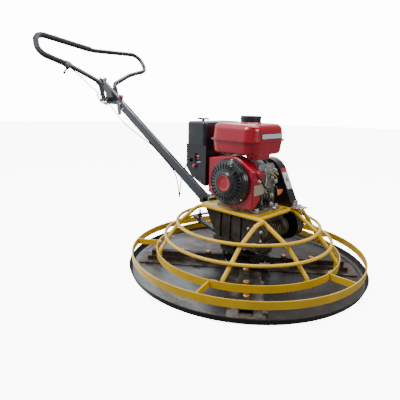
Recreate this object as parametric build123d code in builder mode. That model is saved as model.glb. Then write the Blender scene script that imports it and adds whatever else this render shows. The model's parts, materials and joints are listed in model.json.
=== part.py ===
from build123d import *
from math import cos, pi, radians, sin
import os

# Walk-behind power trowel with a float pan clipped under its four blades.
# Millimetres. Origin on the floor under the rotor's axis, +Z up, +X away from
# the operator. The engine's recoil starter faces -Y and the belt drive is on +Y.

os.makedirs("parts", exist_ok=True)

# ---------------------------------------------------------------- driving sizes
RUN = 0.05                      # radial clearance of a running fit
GAP = 0.3                       # clearance between pieces that only come close

PAN_R = 465.0                   # float pan, outside
PAN_RIM_Z = 25.6
PAN_T = 3.0
PAN_FLOOR_R = 455.5             # where the floor turns up into the rim

OUTER_R = 454.4                 # flat outer guard ring, outside
OUTER_Z = (52.5, 78.6)
MIDDLE_R = 360.0                # flat middle guard ring, outside
MIDDLE_Z = (56.4, 82.2)
FLAT_BAR = 4.0                  # thickness of the flat rings
LOWER_ROD = (324.0, 133.0)      # centre radius and height of the lower rod ring
UPPER_ROD = (278.0, 185.0)
ROD_R = 6.0                     # ring rod
LEG_R = 7.5                     # leg and frame rod
STRUT_COUNT = 5

BAR_Y = 105.0                   # the two long frame bars
BAR_Z = 239.0
BAR_FRONT_X = 140.0
BAR_REAR_X = -165.0
PLATE_X = (-163.0, 104.0)       # engine plate
PLATE_Z = (237.0, 245.0)

GEAR_LOW = 116.0                # gearbox housing: bottom joint and top flange
GEAR_FLANGE = 225.0
GEAR_HALF_WIDTH = 82.0
CHAMBER_R = 75.0
COVER_LOW = 108.0
WORM_X = 100.0
WORM_Z = 172.0
WHEEL_R = 73.3
WHEEL_TEETH = 40
WORM_R = 26.0
SHAFT_R = 17.5                  # vertical output shaft
WORM_SHAFT_R = 12.5

ARM_START = 38.0                # direction of the first arm, degrees from +X
ARM_COUNT = 4
ARM_Z = 32.0                    # height of the arms' pitch axes
ARM_SHAFT_R = 11.0
ARM_END = 385.0
BLADE_X = (82.0, 430.0)
BLADE_HALF = 60.0
BLADE_Z = (3.3, 7.3)
FINGER_R = 87.0                 # where an arm's finger stands, along the arm
FINGER_REACH = 31.3             # and across it
PLATE_LOW = 76.0                # pressure plate's underside
THRUST_TOP = 92.0

YOKE_X = -122.0                 # pitch yoke's pivot
YOKE_Z = 100.0

CRANK_X = -6.0                  # engine crankshaft
CRANK_Z = 355.0
ENGINE_Z = 245.0
SHROUD_Y = (-108.0, -63.0)
GUARD_Y = (114.0, 164.0)        # belt guard
GUARD_TOP_R = 74.0
GUARD_LOW_R = 60.0
BELT_Y = 139.0
DRIVEN_R = 46.0                 # belt line radii
CLUTCH_R = 40.0

HANDLE_FOOT = (-215.0, 0.0, 224.0)
HANDLE_SLOPE = 32.4             # degrees above level
TUBE_H = 40.0
TUBE_W = 20.0
TUBE_END = 945.0
PIVOT_AT = 15.0                 # fold pin, along the tube from its foot

BAR_ROOT = (-969.0, 0.0, 727.0)  # centre of the handlebar's foot
BAR_SLOPE = 53.5                # rise of the handlebar's plane, degrees
BAR_ROLL = 4.6                  # the bar sits a little rolled on the tube
BAR_TUBE_R = 11.5
GRIP_R = 14.0


def store(part, name):
    """Label one finished piece and write its STEP file."""
    part.label = name
    export_step(part, "parts/" + name + ".step")


def facing(y):
    """Upright plane at this y, drawn in X and Z; extrude runs towards -Y."""
    return Plane.XZ.offset(-y)


def arm_plane(index):
    """Level plane at the floor: local x along the arm, y towards its trailing side."""
    angle = radians(ARM_START + 360 / ARM_COUNT * index)
    return Plane(origin=(0, 0, 0), x_dir=(cos(angle), sin(angle), 0), z_dir=(0, 0, 1))


def ring(outer, inner, low, high):
    """Flat ring about the rotor's axis."""
    with BuildPart() as piece:
        with BuildSketch(Plane.XY.offset(low)):
            Circle(outer)
            Circle(inner, mode=Mode.SUBTRACT)
        extrude(amount=high - low)
    return piece.part


def rod(points, bends, radius):
    """Round rod swept along straight runs joined by tangent arcs."""
    with BuildPart() as piece:
        with BuildLine() as path:
            FilletPolyline(*points, radius=bends)
        with BuildSketch(Plane(origin=path.line @ 0, z_dir=path.line % 0)):
            Circle(radius)
        sweep(path=path.line)
    return piece.part


def hex_bolt(width, head, shank_radius, shank):
    """Hexagon head above its seat, plain shank below."""
    with BuildPart() as piece:
        with BuildSketch():
            RegularPolygon(width / 2, 6, major_radius=False)
        extrude(amount=head)
        chamfer(piece.edges().group_by(Axis.Z)[-1], head / 8)
        with Locations((0, 0, -shank / 2)):
            Cylinder(shank_radius, shank)
    return piece.part


def polar(radius, angle, z):
    """Point at this radius, angle in degrees and height."""
    return (radius * cos(radians(angle)), radius * sin(radians(angle)), z)


def mirrored(points):
    """The same route on the other side of the machine's middle plane."""
    return [(x, -y, z) for x, y, z in points]


bolt_m12 = hex_bolt(19, 8, 6, 31)
bolt_m10 = hex_bolt(16, 6.5, 5, 18)
bolt_m8 = hex_bolt(13, 5, 4, 7.8)

# ---------------------------------------------------------------- float pan
with BuildPart() as float_pan:
    with BuildSketch(Plane.XZ):
        with BuildLine():
            outside = FilletPolyline((0, 0), (PAN_FLOOR_R, 0), (PAN_R, PAN_RIM_Z), radius=14)
            inside = FilletPolyline(
                (0, PAN_T), (PAN_FLOOR_R - 2.2, PAN_T), (PAN_R - PAN_T, PAN_RIM_Z), radius=11
            )
            Line(outside @ 0, inside @ 0)
            Line(outside @ 1, inside @ 1)
        make_face()
    revolve(axis=Axis.Z)
store(float_pan.part, "float_pan")

# Hooks over each blade's trailing edge, and a drive lug ahead of its leading edge.
HOOK_RADII = (190.0, 385.0)
LUG_RADIUS = 300.0
HOOK_LENGTH = 30.0
with BuildPart() as pan_clips:
    for index in range(ARM_COUNT):
        with Locations(arm_plane(index)):
            with Locations(*[(r, BLADE_HALF + 4, PAN_T + 5) for r in HOOK_RADII]):
                Box(HOOK_LENGTH, 4, 10)
            with Locations(*[(r, BLADE_HALF - 1, PAN_T + 8.5) for r in HOOK_RADII]):
                Box(HOOK_LENGTH, 14, 3)
            with Locations((LUG_RADIUS, -BLADE_HALF - 9, PAN_T + 5)):
                Box(HOOK_LENGTH, 4, 10)
store(pan_clips.part, "pan_clips")

# ---------------------------------------------------------------- arms and blades
BAR_LOW = ARM_Z - 10
BAR_TOP = ARM_Z + 10
BOLT_RADII = (152.0, 260.0, 358.0)
TIP_R = 5.0
for index in range(ARM_COUNT):
    with BuildPart(arm_plane(index)) as arm:
        with Locations((52, 0, ARM_Z)):
            Cylinder(ARM_SHAFT_R, 56, rotation=(0, 90, 0))
        with Locations((88, 0, ARM_Z)):
            Box(18, 30, 26)
        with Locations(((96 + ARM_END) / 2, 0, ARM_Z)):
            Box(ARM_END - 96, 24, 20)
        with Locations(*[(r, 0, ARM_Z) for r in BOLT_RADII]):
            Cylinder(6.1, 30, mode=Mode.SUBTRACT)
        with Locations((FINGER_R, FINGER_REACH / 2 + 3, ARM_Z)):
            Box(13, FINGER_REACH + 6, 12)
        with Locations((FINGER_R, FINGER_REACH, (ARM_Z + PLATE_LOW - GAP - TIP_R) / 2)):
            Cylinder(TIP_R, PLATE_LOW - GAP - TIP_R - ARM_Z)
        with Locations((FINGER_R, FINGER_REACH, PLATE_LOW - GAP - TIP_R)):
            Sphere(TIP_R)
        with Locations(*[(r, 0, BAR_TOP + 0.05) for r in BOLT_RADII]):
            add(bolt_m12)
    store(arm.part, "arm_" + str(index + 1))

    with BuildPart(arm_plane(index)) as blade:
        with BuildSketch(arm_plane(index).offset(BLADE_Z[0])):
            with Locations((sum(BLADE_X) / 2, 0)):
                RectangleRounded(BLADE_X[1] - BLADE_X[0], 2 * BLADE_HALF, 12)
        extrude(amount=BLADE_Z[1] - BLADE_Z[0])
        with Locations((250, 0, (BLADE_Z[1] + BAR_LOW) / 2)):
            Box(300, 46, BAR_LOW - BLADE_Z[1])
        with Locations((250, 0, (BLADE_Z[1] + BAR_LOW) / 2 - 1.5)):
            Box(301, 40, BAR_LOW - BLADE_Z[1] - 3, mode=Mode.SUBTRACT)
        with Locations(*[(r, 0, BAR_LOW) for r in BOLT_RADII]):
            Cylinder(6.2, 10, mode=Mode.SUBTRACT)
    store(blade.part, "blade_" + str(index + 1))

# ---------------------------------------------------------------- rotor
HUB_R = 58.0
with BuildPart() as spider:
    with Locations((0, 0, 34)):
        Cylinder(HUB_R, 44)
    chamfer(spider.edges().group_by(Axis.Z)[-1], 4)
    for index in range(ARM_COUNT):
        with Locations(arm_plane(index)):
            with Locations((58, 0, ARM_Z)):
                Cylinder(20, 36, rotation=(0, 90, 0))
    for index in range(ARM_COUNT):
        with Locations(arm_plane(index)):
            with Locations((60, 0, ARM_Z)):
                Cylinder(ARM_SHAFT_R + RUN, 78, rotation=(0, 90, 0), mode=Mode.SUBTRACT)
    with Locations((0, 0, 34)):
        Cylinder(SHAFT_R, 44, mode=Mode.SUBTRACT)
store(spider.part, "spider")

with BuildPart() as output_shaft:
    with Locations((0, 0, 112.5)):
        Cylinder(SHAFT_R, 201)
    with Locations((0, 0, 9.5)):
        Cylinder(SHAFT_R + 7, 5)
    chamfer(output_shaft.edges().group_by(Axis.Z)[-1], 2)
store(output_shaft.part, "output_shaft")

WHEEL_Z = (158.0, 186.0)
with BuildPart() as worm_wheel:
    with Locations((0, 0, sum(WHEEL_Z) / 2)):
        Cylinder(WHEEL_R, WHEEL_Z[1] - WHEEL_Z[0])
        Cylinder(60, WHEEL_Z[1] - WHEEL_Z[0], mode=Mode.SUBTRACT)
        Cylinder(61, 10)
        Cylinder(30, WHEEL_Z[1] - WHEEL_Z[0])
        with PolarLocations(WHEEL_R, WHEEL_TEETH):
            Cylinder(2.6, WHEEL_Z[1] - WHEEL_Z[0], mode=Mode.SUBTRACT)
        Cylinder(SHAFT_R, WHEEL_Z[1] - WHEEL_Z[0], mode=Mode.SUBTRACT)
store(worm_wheel.part, "worm_wheel")

with BuildPart() as pressure_plate:
    with Locations((0, 0, PLATE_LOW + 3)):
        Cylinder(104, 6)
    with Locations((0, 0, (PLATE_LOW + THRUST_TOP) / 2 + 3)):
        Cylinder(46, THRUST_TOP - PLATE_LOW - 6)
    chamfer(pressure_plate.edges().group_by(Axis.Z)[-1], 1)
    with Locations((0, 0, (PLATE_LOW + THRUST_TOP) / 2)):
        Cylinder(SHAFT_R + RUN, THRUST_TOP - PLATE_LOW, mode=Mode.SUBTRACT)
store(pressure_plate.part, "pressure_plate")

# ---------------------------------------------------------------- pitch yoke
FORK_Z = (97.0, 103.0)
PAD_Y = 38.0
with BuildPart() as pitch_yoke:
    with BuildSketch(Plane.XY.offset(FORK_Z[0])):
        with Locations((-43, PAD_Y), (-43, -PAD_Y)):
            Rectangle(102, 13)
        with Locations((-99, 0)):
            Rectangle(12, 2 * PAD_Y + 13)
        with Locations((-112, 0)):
            Rectangle(24, 36)
    extrude(amount=FORK_Z[1] - FORK_Z[0])
    with Locations((0, PAD_Y, 94.8), (0, -PAD_Y, 94.8)):
        Cylinder(5, 5)
    with Locations((YOKE_X, 0, YOKE_Z)):
        Cylinder(10, 46, rotation=(90, 0, 0))
        Cylinder(6, 82, rotation=(90, 0, 0))
    with BuildSketch(facing(12)):
        with BuildLine():
            Polyline(
                (YOKE_X, YOKE_Z - 7), (YOKE_X - 46, 101), (-292, 138), (-292, 148),
                (-176, 113), (YOKE_X, YOKE_Z + 7), close=True
            )
        make_face()
    extrude(amount=24)
    with Locations((-262, 0, 145)):
        Cylinder(4.5, 68)
    with Locations((-262, 0, 153), (-262, 0, 127)):
        Cylinder(10, 12)
store(pitch_yoke.part, "pitch_yoke")

# ---------------------------------------------------------------- gearbox
with BuildPart() as gearbox_housing:
    with BuildSketch(Plane.XY.offset(GEAR_LOW)):
        with Locations((11, 0)):
            RectangleRounded(212, 2 * GEAR_HALF_WIDTH, 14)
    with BuildSketch(Plane.XY.offset(GEAR_FLANGE)):
        with Locations((-22, 0)):
            RectangleRounded(278, 2 * GEAR_HALF_WIDTH, 14)
    loft()
    with BuildSketch(Plane.XY.offset(GEAR_LOW)):
        with Locations((11, 0)):
            RectangleRounded(232, 2 * GEAR_HALF_WIDTH + 20, 14)
    extrude(amount=8)
    with BuildSketch(Plane.XY.offset(GEAR_FLANGE)):
        with Locations((-23.5, 0)):
            RectangleRounded(279, 2 * GEAR_HALF_WIDTH + 12, 10)
    extrude(amount=PLATE_Z[0] - GEAR_FLANGE)
    with Locations((WORM_X, -2, WORM_Z)):
        Cylinder(38, 172, rotation=(90, 0, 0))
    with Locations((WORM_X, -90, WORM_Z)):
        Cylinder(30, 6, rotation=(90, 0, 0))
    with Locations(*[(x, -GEAR_HALF_WIDTH - 2, 174) for x in (-70, -20, 30)]):
        Box(7, 8, 102)
    with Locations((0, 0, (GEAR_LOW + 214) / 2)):
        Cylinder(CHAMBER_R, 214 - GEAR_LOW, mode=Mode.SUBTRACT)
    with Locations((WORM_X, 2, WORM_Z)):
        Cylinder(30, 164, rotation=(90, 0, 0), mode=Mode.SUBTRACT)
    with Locations((0, 0, 207)):
        Cylinder(46, 18)
        Cylinder(36, 18, mode=Mode.SUBTRACT)
store(gearbox_housing.part, "gearbox_housing")

COVER_BOLTS = [(-92, 82), (-92, -82), (0, 87), (0, -87), (60, 87), (60, -87), (114, 82), (114, -82)]
with BuildPart() as gearbox_cover:
    with BuildSketch(Plane.XY.offset(COVER_LOW)):
        with Locations((11, 0)):
            RectangleRounded(232, 2 * GEAR_HALF_WIDTH + 20, 14)
    extrude(amount=GEAR_LOW - COVER_LOW)
    with Locations((0, 0, 124)):
        Cylinder(46, 16)
    with Locations((YOKE_X, 31, 103), (YOKE_X, -31, 103)):
        Box(22, 12, 26)
    with Locations((-110, 31, 112), (-110, -31, 112)):
        Box(20, 12, 8)
    with Locations((YOKE_X, 0, YOKE_Z)):
        Cylinder(6 + RUN, 80, rotation=(90, 0, 0), mode=Mode.SUBTRACT)
    with Locations((0, 0, 123)):
        Cylinder(36, 18, mode=Mode.SUBTRACT)
    with Locations((0, 0, 111)):
        Cylinder(26, 6, mode=Mode.SUBTRACT)
    with Locations(*[(x, y, COVER_LOW + 4) for x, y in COVER_BOLTS]):
        Cylinder(4.1, 8, mode=Mode.SUBTRACT)
store(gearbox_cover.part, "gearbox_cover")

with BuildPart() as gearbox_bearings:
    add(ring(36, SHAFT_R + RUN, 114, 130))
    add(ring(36, SHAFT_R + RUN, 198, 214))
    for y in (-73, 71):
        with Locations((WORM_X, y, WORM_Z)):
            Cylinder(30, 14, rotation=(90, 0, 0))
            Cylinder(WORM_SHAFT_R + RUN, 14, rotation=(90, 0, 0), mode=Mode.SUBTRACT)
store(gearbox_bearings.part, "gearbox_bearings")

with BuildPart() as gearbox_seals:
    add(ring(26, SHAFT_R + 0.1, 108.5, 113.5))
    with Locations((WORM_X, 81, WORM_Z)):
        Cylinder(30, 5, rotation=(90, 0, 0))
        Cylinder(WORM_SHAFT_R + 0.1, 5, rotation=(90, 0, 0), mode=Mode.SUBTRACT)
store(gearbox_seals.part, "gearbox_seals")

WORM_RIDGES = 9
with BuildPart() as worm_shaft:
    with Locations((WORM_X, 36, WORM_Z)):
        Cylinder(WORM_SHAFT_R, 232, rotation=(90, 0, 0))
    with Locations((WORM_X, 0, WORM_Z)):
        Cylinder(21, 84, rotation=(90, 0, 0))
    with Locations(*[(WORM_X, 9 * (i - WORM_RIDGES // 2), WORM_Z) for i in range(WORM_RIDGES)]):
        Cylinder(WORM_R, 4.5, rotation=(90, 0, 0))
store(worm_shaft.part, "worm_shaft")


def pulley_profile(belt_radius, bore):
    """Half section of a V-belt pulley: local x outwards, y along its axle."""
    rim = belt_radius + 6
    root = belt_radius - 6
    with BuildSketch() as profile:
        with BuildLine():
            Polyline(
                (bore, -11), (rim, -11), (rim, -8), (root, -4), (root, 4),
                (rim, 8), (rim, 11), (bore, 11), close=True
            )
        make_face()
    return profile.sketch


with BuildPart() as driven_pulley:
    with BuildSketch(Plane(origin=(WORM_X, BELT_Y, WORM_Z), x_dir=(1, 0, 0), z_dir=(0, 0, 1))):
        add(pulley_profile(DRIVEN_R, WORM_SHAFT_R))
    revolve(axis=Axis((WORM_X, 0, WORM_Z), (0, 1, 0)))
store(driven_pulley.part, "driven_pulley")

# ---------------------------------------------------------------- guard rings
RING_LEG_R = ROD_R + LEG_R      # a leg lies against the inside of each rod ring
with BuildPart() as guard_rod_rings:
    for radius, height in (LOWER_ROD, UPPER_ROD):
        with Locations((0, 0, height)):
            Torus(radius, ROD_R)
store(guard_rod_rings.part, "guard_rod_rings")
store(ring(MIDDLE_R, MIDDLE_R - FLAT_BAR, *MIDDLE_Z), "guard_ring_middle")
store(ring(OUTER_R, OUTER_R - FLAT_BAR, *OUTER_Z), "guard_ring_outer")

STRUT_LENGTH = OUTER_R - FLAT_BAR - MIDDLE_R - 0.6
with BuildPart() as guard_struts:
    with PolarLocations(MIDDLE_R + 0.3 + STRUT_LENGTH / 2, STRUT_COUNT):
        with Locations((0, 0, (MIDDLE_Z[0] + OUTER_Z[1]) / 2)):
            Box(STRUT_LENGTH, 5, OUTER_Z[1] - MIDDLE_Z[0])
    with PolarLocations(MIDDLE_R - FLAT_BAR - 3.2, STRUT_COUNT, start_angle=2.6):
        with Locations((0, 0, sum(MIDDLE_Z) / 2)):
            Box(5, 26, 24)
store(guard_struts.part, "guard_struts")

# ---------------------------------------------------------------- guard frame
LEG_TOP_R = UPPER_ROD[0] - 0.70 * RING_LEG_R - 0.2
LEG_TOP_Z = UPPER_ROD[1] - 0.72 * RING_LEG_R - 0.2
LEG_MID_R = LOWER_ROD[0] - 0.77 * RING_LEG_R - 0.2
LEG_MID_Z = LOWER_ROD[1] - 0.64 * RING_LEG_R - 0.2
LEG_FOOT_R = MIDDLE_R - FLAT_BAR - LEG_R


def along_bar(radius):
    """How far forward the straight long bar is at this radius."""
    return (radius ** 2 - BAR_Y ** 2) ** 0.5


near_bar_route = [
    polar(LEG_FOOT_R, -122.5, MIDDLE_Z[0]),
    polar(LEG_FOOT_R, -122.5, MIDDLE_Z[1]),
    polar(LEG_MID_R, -128.5, LEG_MID_Z),
    polar(LEG_TOP_R, -138.0, LEG_TOP_Z),
    (BAR_REAR_X, -BAR_Y, BAR_Z),
    (BAR_FRONT_X, -BAR_Y, BAR_Z),
    (along_bar(LEG_TOP_R), -BAR_Y, LEG_TOP_Z),
    (along_bar(LEG_MID_R), -BAR_Y, LEG_MID_Z),
    (along_bar(LEG_FOOT_R), -BAR_Y, MIDDLE_Z[1]),
    (along_bar(LEG_FOOT_R), -BAR_Y, MIDDLE_Z[0]),
]
BAR_BENDS = [22, 60, 60, 45, 55, 110, 110, 22]
SIDE_LEG_TOP = (152.0, -BAR_Y - LEG_R - 0.1, BAR_Z - 1)
side_leg_route = [
    SIDE_LEG_TOP,
    (SIDE_LEG_TOP[0], -BAR_Y - 48, BAR_Z - 5),
    polar(LEG_TOP_R, -57.5, LEG_TOP_Z),
    polar(LEG_MID_R, -62.0, LEG_MID_Z),
    polar(LEG_FOOT_R, -65.0, MIDDLE_Z[1]),
    polar(LEG_FOOT_R, -65.0, MIDDLE_Z[0]),
]
SIDE_BENDS = [45, 90, 90, 22]

with BuildPart() as guard_frame:
    add(rod(near_bar_route, BAR_BENDS, LEG_R))
    add(rod(mirrored(near_bar_route), BAR_BENDS, LEG_R))
    add(rod(side_leg_route, SIDE_BENDS, LEG_R))
    add(rod(mirrored(side_leg_route), SIDE_BENDS, LEG_R))
    with Locations((126, 0, BAR_Z)):
        Cylinder(LEG_R, 2 * (BAR_Y - LEG_R) - 0.2, rotation=(90, 0, 0))
store(guard_frame.part, "guard_frame")

# ---------------------------------------------------------------- engine plate
ENGINE_BOLTS = [(-82, -60), (-82, 62), (84, -60), (84, 62)]
PLATE_HALF = BAR_Y - LEG_R - 0.1
with BuildPart() as engine_plate:
    with BuildSketch(Plane.XY.offset(PLATE_Z[0])):
        with Locations((sum(PLATE_X) / 2, 0)):
            RectangleRounded(PLATE_X[1] - PLATE_X[0], 2 * PLATE_HALF, 6)
        with Locations(*ENGINE_BOLTS):
            SlotOverall(34, 11, mode=Mode.SUBTRACT)
        with Locations((84, -26), (84, 26), (-140, -60), (-140, 60)):
            SlotOverall(30, 10, mode=Mode.SUBTRACT)
    extrude(amount=PLATE_Z[1] - PLATE_Z[0])
store(engine_plate.part, "engine_plate")

# ---------------------------------------------------------------- engine
CYLINDER_RISE = 20.0
UPWARD = Plane(
    origin=(CRANK_X, 0, CRANK_Z),
    x_dir=(0, 1, 0),
    z_dir=(-cos(radians(CYLINDER_RISE)), 0, sin(radians(CYLINDER_RISE))),
)
CRANK_AXIS = Axis((CRANK_X, 0, CRANK_Z), (0, 1, 0))
NECK_END = 80.0
HEAD_LOW = 150.0
HEAD_TOP = 174.0
with BuildPart() as crankcase:
    with BuildSketch(facing(72)):
        with Locations((CRANK_X, CRANK_Z)):
            Circle(72)
        with Locations((2, ENGINE_Z + 20)):
            Rectangle(136, 36)
        make_hull()
    extrude(amount=130)
    with Locations((1, 0, ENGINE_Z + 6)):
        Box(194, 150, 12)
    with Locations((CRANK_X, 82, CRANK_Z)):
        Cylinder(34, 20, rotation=(90, 0, 0))
    with Locations(UPWARD):
        with Locations((0, 0, 70)):
            Box(96, 84, 20)
    with Locations((CRANK_X, 7, CRANK_Z)):
        Cylinder(60, 110, rotation=(90, 0, 0), mode=Mode.SUBTRACT)
    with Locations((CRANK_X, 7, CRANK_Z)):
        Cylinder(15 + RUN, 200, rotation=(90, 0, 0), mode=Mode.SUBTRACT)
    with Locations(UPWARD):
        with Locations((0, 0, 60)):
            Cylinder(34, 60, mode=Mode.SUBTRACT)
    with Locations(*[(x, y, ENGINE_Z + 6) for x, y in ENGINE_BOLTS]):
        Cylinder(5.1, 12, mode=Mode.SUBTRACT)
store(crankcase.part, "crankcase")

FIN_COUNT = 6
with BuildPart(UPWARD) as cylinder:
    with Locations((0, 0, (NECK_END + HEAD_LOW) / 2)):
        Cylinder(42, HEAD_LOW - NECK_END)
    with Locations(*[(0, 0, NECK_END + 5 + 11 * i) for i in range(FIN_COUNT)]):
        Box(102, 84, 4)
    with Locations((0, 0, (HEAD_LOW + HEAD_TOP) / 2)):
        Box(100, 84, HEAD_TOP - HEAD_LOW)
    with Locations((0, 0, (NECK_END + HEAD_LOW) / 2)):
        Cylinder(34, HEAD_LOW - NECK_END, mode=Mode.SUBTRACT)
store(cylinder.part, "cylinder")

with BuildPart(UPWARD) as rocker_cover:
    with BuildSketch(UPWARD.offset(HEAD_TOP + 0.1)):
        RectangleRounded(88, 70, 14)
    extrude(amount=24)
    fillet(rocker_cover.faces().sort_by(Axis(UPWARD.origin, UPWARD.z_dir))[-1].edges(), 7)
store(rocker_cover.part, "rocker_cover")

with BuildPart() as spark_plug:
    with Locations(Plane(origin=(-128, 51.2, 404), z_dir=(0, 1, 0))):
        Cylinder(7, 14, align=(Align.CENTER, Align.CENTER, Align.MIN))
    with Locations(Plane(origin=(-128, 60, 404), z_dir=(0, 0.7, 0.7))):
        Cylinder(10.5, 30, align=(Align.CENTER, Align.CENTER, Align.MIN))
store(spark_plug.part, "spark_plug")

with BuildPart() as muffler:
    with BuildSketch(facing(132)):
        with Locations((-166, 346)):
            RectangleRounded(112, 84, 26)
    extrude(amount=62)
    fillet(muffler.edges().filter_by(GeomType.LINE, reverse=True), 8)
    with Locations((-146, 61.3, 370)):
        Cylinder(14, 20, rotation=(90, 0, 0))
    with Locations((-225, 108, 330)):
        Cylinder(10, 26, rotation=(0, 90, 0))
store(muffler.part, "muffler")

with BuildPart() as carburettor:
    with Locations((-166, -57.3, 408)):
        Box(46, 12, 50)
    with Locations((-166, -75, 408)):
        Cylinder(18, 24, rotation=(90, 0, 0))
    with Locations((-166, -76, 384)):
        Cylinder(15, 34)
store(carburettor.part, "carburettor")

with BuildPart() as fan_shroud:
    with BuildSketch(facing(SHROUD_Y[1])) as shroud_outline:
        with Locations((CRANK_X, CRANK_Z)):
            Circle(97)
        with BuildLine():
            Polyline((-121, 436), (-119, 300), (97, 268), (97, 404), (62, 420), close=True)
        make_face()
        make_hull()
    extrude(amount=SHROUD_Y[1] - SHROUD_Y[0])
    fillet(fan_shroud.faces().sort_by(Axis.Y)[0].edges(), 7)
    with BuildSketch(facing(SHROUD_Y[1])):
        offset(shroud_outline.sketch, amount=-3)
    extrude(amount=SHROUD_Y[1] - SHROUD_Y[0] - 3, mode=Mode.SUBTRACT)
    with Locations((CRANK_X, -106, CRANK_Z)):
        Cylinder(80, 12, rotation=(90, 0, 0), mode=Mode.SUBTRACT)
    with BuildSketch(Plane(origin=(60, 0, 0), x_dir=(0, 1, 0), z_dir=(1, 0, 0))):
        with BuildLine():
            Polyline((-62, 318), (-70, 296), (-84, 279), (-106, 268), (-106, 250), (-62, 250), close=True)
        make_face()
    extrude(amount=50, mode=Mode.SUBTRACT)
store(fan_shroud.part, "fan_shroud")

LOUVRES = 30
with BuildPart() as recoil_cover:
    with BuildSketch(Plane(origin=(CRANK_X, 0, CRANK_Z), x_dir=(1, 0, 0), z_dir=(0, 0, 1))):
        with BuildLine():
            Polyline(
                (0, -146), (35, -146), (41, -141), (67, -136), (82, -127), (87, -116),
                (87, -108.1), (83, -108.1), (83, -114), (79, -124), (66, -132.5),
                (40, -137.5), (33, -142), (0, -142), close=True
            )
        make_face()
    revolve(axis=CRANK_AXIS)
    with Locations(Plane(origin=(CRANK_X, -126, CRANK_Z), z_dir=(0, -1, 0))):
        with PolarLocations(63, LOUVRES):
            Box(22, 4.5, 30, mode=Mode.SUBTRACT)
        with PolarLocations(52, 3):
            Cylinder(2.5, 30, mode=Mode.SUBTRACT)
store(recoil_cover.part, "recoil_cover")

# Pull cord's T-handle, parked at the upper right of the recoil cover.
PULL = (0.62, 0.0, 0.78)
GRIP_PLANE = Plane(origin=(52, -150, 412), x_dir=(0, 1, 0), z_dir=PULL)
with BuildPart(GRIP_PLANE) as starter_grip:
    with BuildSketch(GRIP_PLANE):
        RectangleRounded(17, 58, 8)
    extrude(amount=17)
    fillet(starter_grip.edges().group_by(Axis(GRIP_PLANE.origin, GRIP_PLANE.z_dir))[-1], 5)
    with Locations((0, 0, -12)):
        Cylinder(5, 24)
store(starter_grip.part, "starter_grip")

with BuildPart() as flywheel:
    with Locations((CRANK_X, -88, CRANK_Z)):
        Cylinder(78, 14, rotation=(90, 0, 0))
        Cylinder(15, 14, rotation=(90, 0, 0), mode=Mode.SUBTRACT)
    with Locations(Plane(origin=(CRANK_X, -98, CRANK_Z), z_dir=(0, -1, 0))):
        with PolarLocations(60, 16):
            Box(28, 2.5, 8)
store(flywheel.part, "flywheel")

with BuildPart() as crankshaft:
    with Locations((CRANK_X, 30, CRANK_Z)):
        Cylinder(15, 252, rotation=(90, 0, 0))
    with Locations((CRANK_X, -20, CRANK_Z), (CRANK_X, 26, CRANK_Z)):
        Cylinder(48, 16, rotation=(90, 0, 0))
    with Locations((CRANK_X - 26, 3, CRANK_Z)):
        Cylinder(16, 34, rotation=(90, 0, 0))
    with Locations((CRANK_X, BELT_Y - 17, CRANK_Z)):
        Cylinder(28, 8, rotation=(90, 0, 0))
        Box(96, 8, 22)
store(crankshaft.part, "crankshaft")

with BuildPart() as clutch_drum:
    with BuildSketch(Plane(origin=(CRANK_X, BELT_Y, CRANK_Z), x_dir=(1, 0, 0), z_dir=(0, 0, 1))):
        add(pulley_profile(CLUTCH_R, 15 + RUN))
    revolve(axis=CRANK_AXIS)
    with Locations((CRANK_X, BELT_Y - 16, CRANK_Z)):
        Cylinder(56, 10, rotation=(90, 0, 0))
        Cylinder(51, 10, rotation=(90, 0, 0), mode=Mode.SUBTRACT)
    with Locations((CRANK_X, BELT_Y - 9.5, CRANK_Z)):
        Cylinder(56, 3, rotation=(90, 0, 0))
        Cylinder(15 + RUN, 3, rotation=(90, 0, 0), mode=Mode.SUBTRACT)
store(clutch_drum.part, "clutch_drum")


def belt_outline(extra):
    """Outline round both pulleys at this distance outside their belt lines."""
    with BuildSketch() as outline:
        with Locations((CRANK_X, CRANK_Z)):
            Circle(CLUTCH_R + extra)
        with Locations((WORM_X, WORM_Z)):
            Circle(DRIVEN_R + extra)
        make_hull()
    return outline.sketch


with BuildPart() as v_belt:
    with BuildSketch(facing(BELT_Y + 3.5)):
        add(belt_outline(4))
        add(belt_outline(-5.6), mode=Mode.SUBTRACT)
    extrude(amount=7)
store(v_belt.part, "v_belt")


def guard_outline(shrink):
    """Outline of the belt guard, this far inside its outer face."""
    with BuildSketch() as outline:
        with Locations((CRANK_X, CRANK_Z)):
            Circle(GUARD_TOP_R - shrink)
        with Locations((WORM_X, WORM_Z)):
            Circle(GUARD_LOW_R - shrink)
        make_hull()
    return outline.sketch


with BuildPart() as belt_guard:
    with BuildSketch(facing(GUARD_Y[1])):
        add(guard_outline(0))
    extrude(amount=GUARD_Y[1] - GUARD_Y[0])
    fillet(belt_guard.faces().sort_by(Axis.Y)[-1].edges(), 5)
    with BuildSketch(facing(GUARD_Y[1] - 2.5)):
        add(guard_outline(2.5))
    extrude(amount=GUARD_Y[1] - GUARD_Y[0] - 5, mode=Mode.SUBTRACT)
    with Locations((CRANK_X, GUARD_Y[0], CRANK_Z)):
        Cylinder(24, 10, rotation=(90, 0, 0), mode=Mode.SUBTRACT)
    with Locations((WORM_X, GUARD_Y[0], WORM_Z)):
        Cylinder(20, 10, rotation=(90, 0, 0), mode=Mode.SUBTRACT)
store(belt_guard.part, "belt_guard")

with BuildPart() as belt_guard_bracket:
    with Locations((153, 124, BAR_Z + LEG_R + 3)):
        Box(46, 52, 4)
    with Locations((132, 130, BAR_Z + LEG_R + 15)):
        Box(4, 32, 20)
    with Locations((148, 140, BAR_Z + LEG_R + 5.1), (164, 112, BAR_Z + LEG_R + 5.1)):
        add(hex_bolt(14, 6, 3, 0.04))
store(belt_guard_bracket.part, "belt_guard_bracket")

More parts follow.
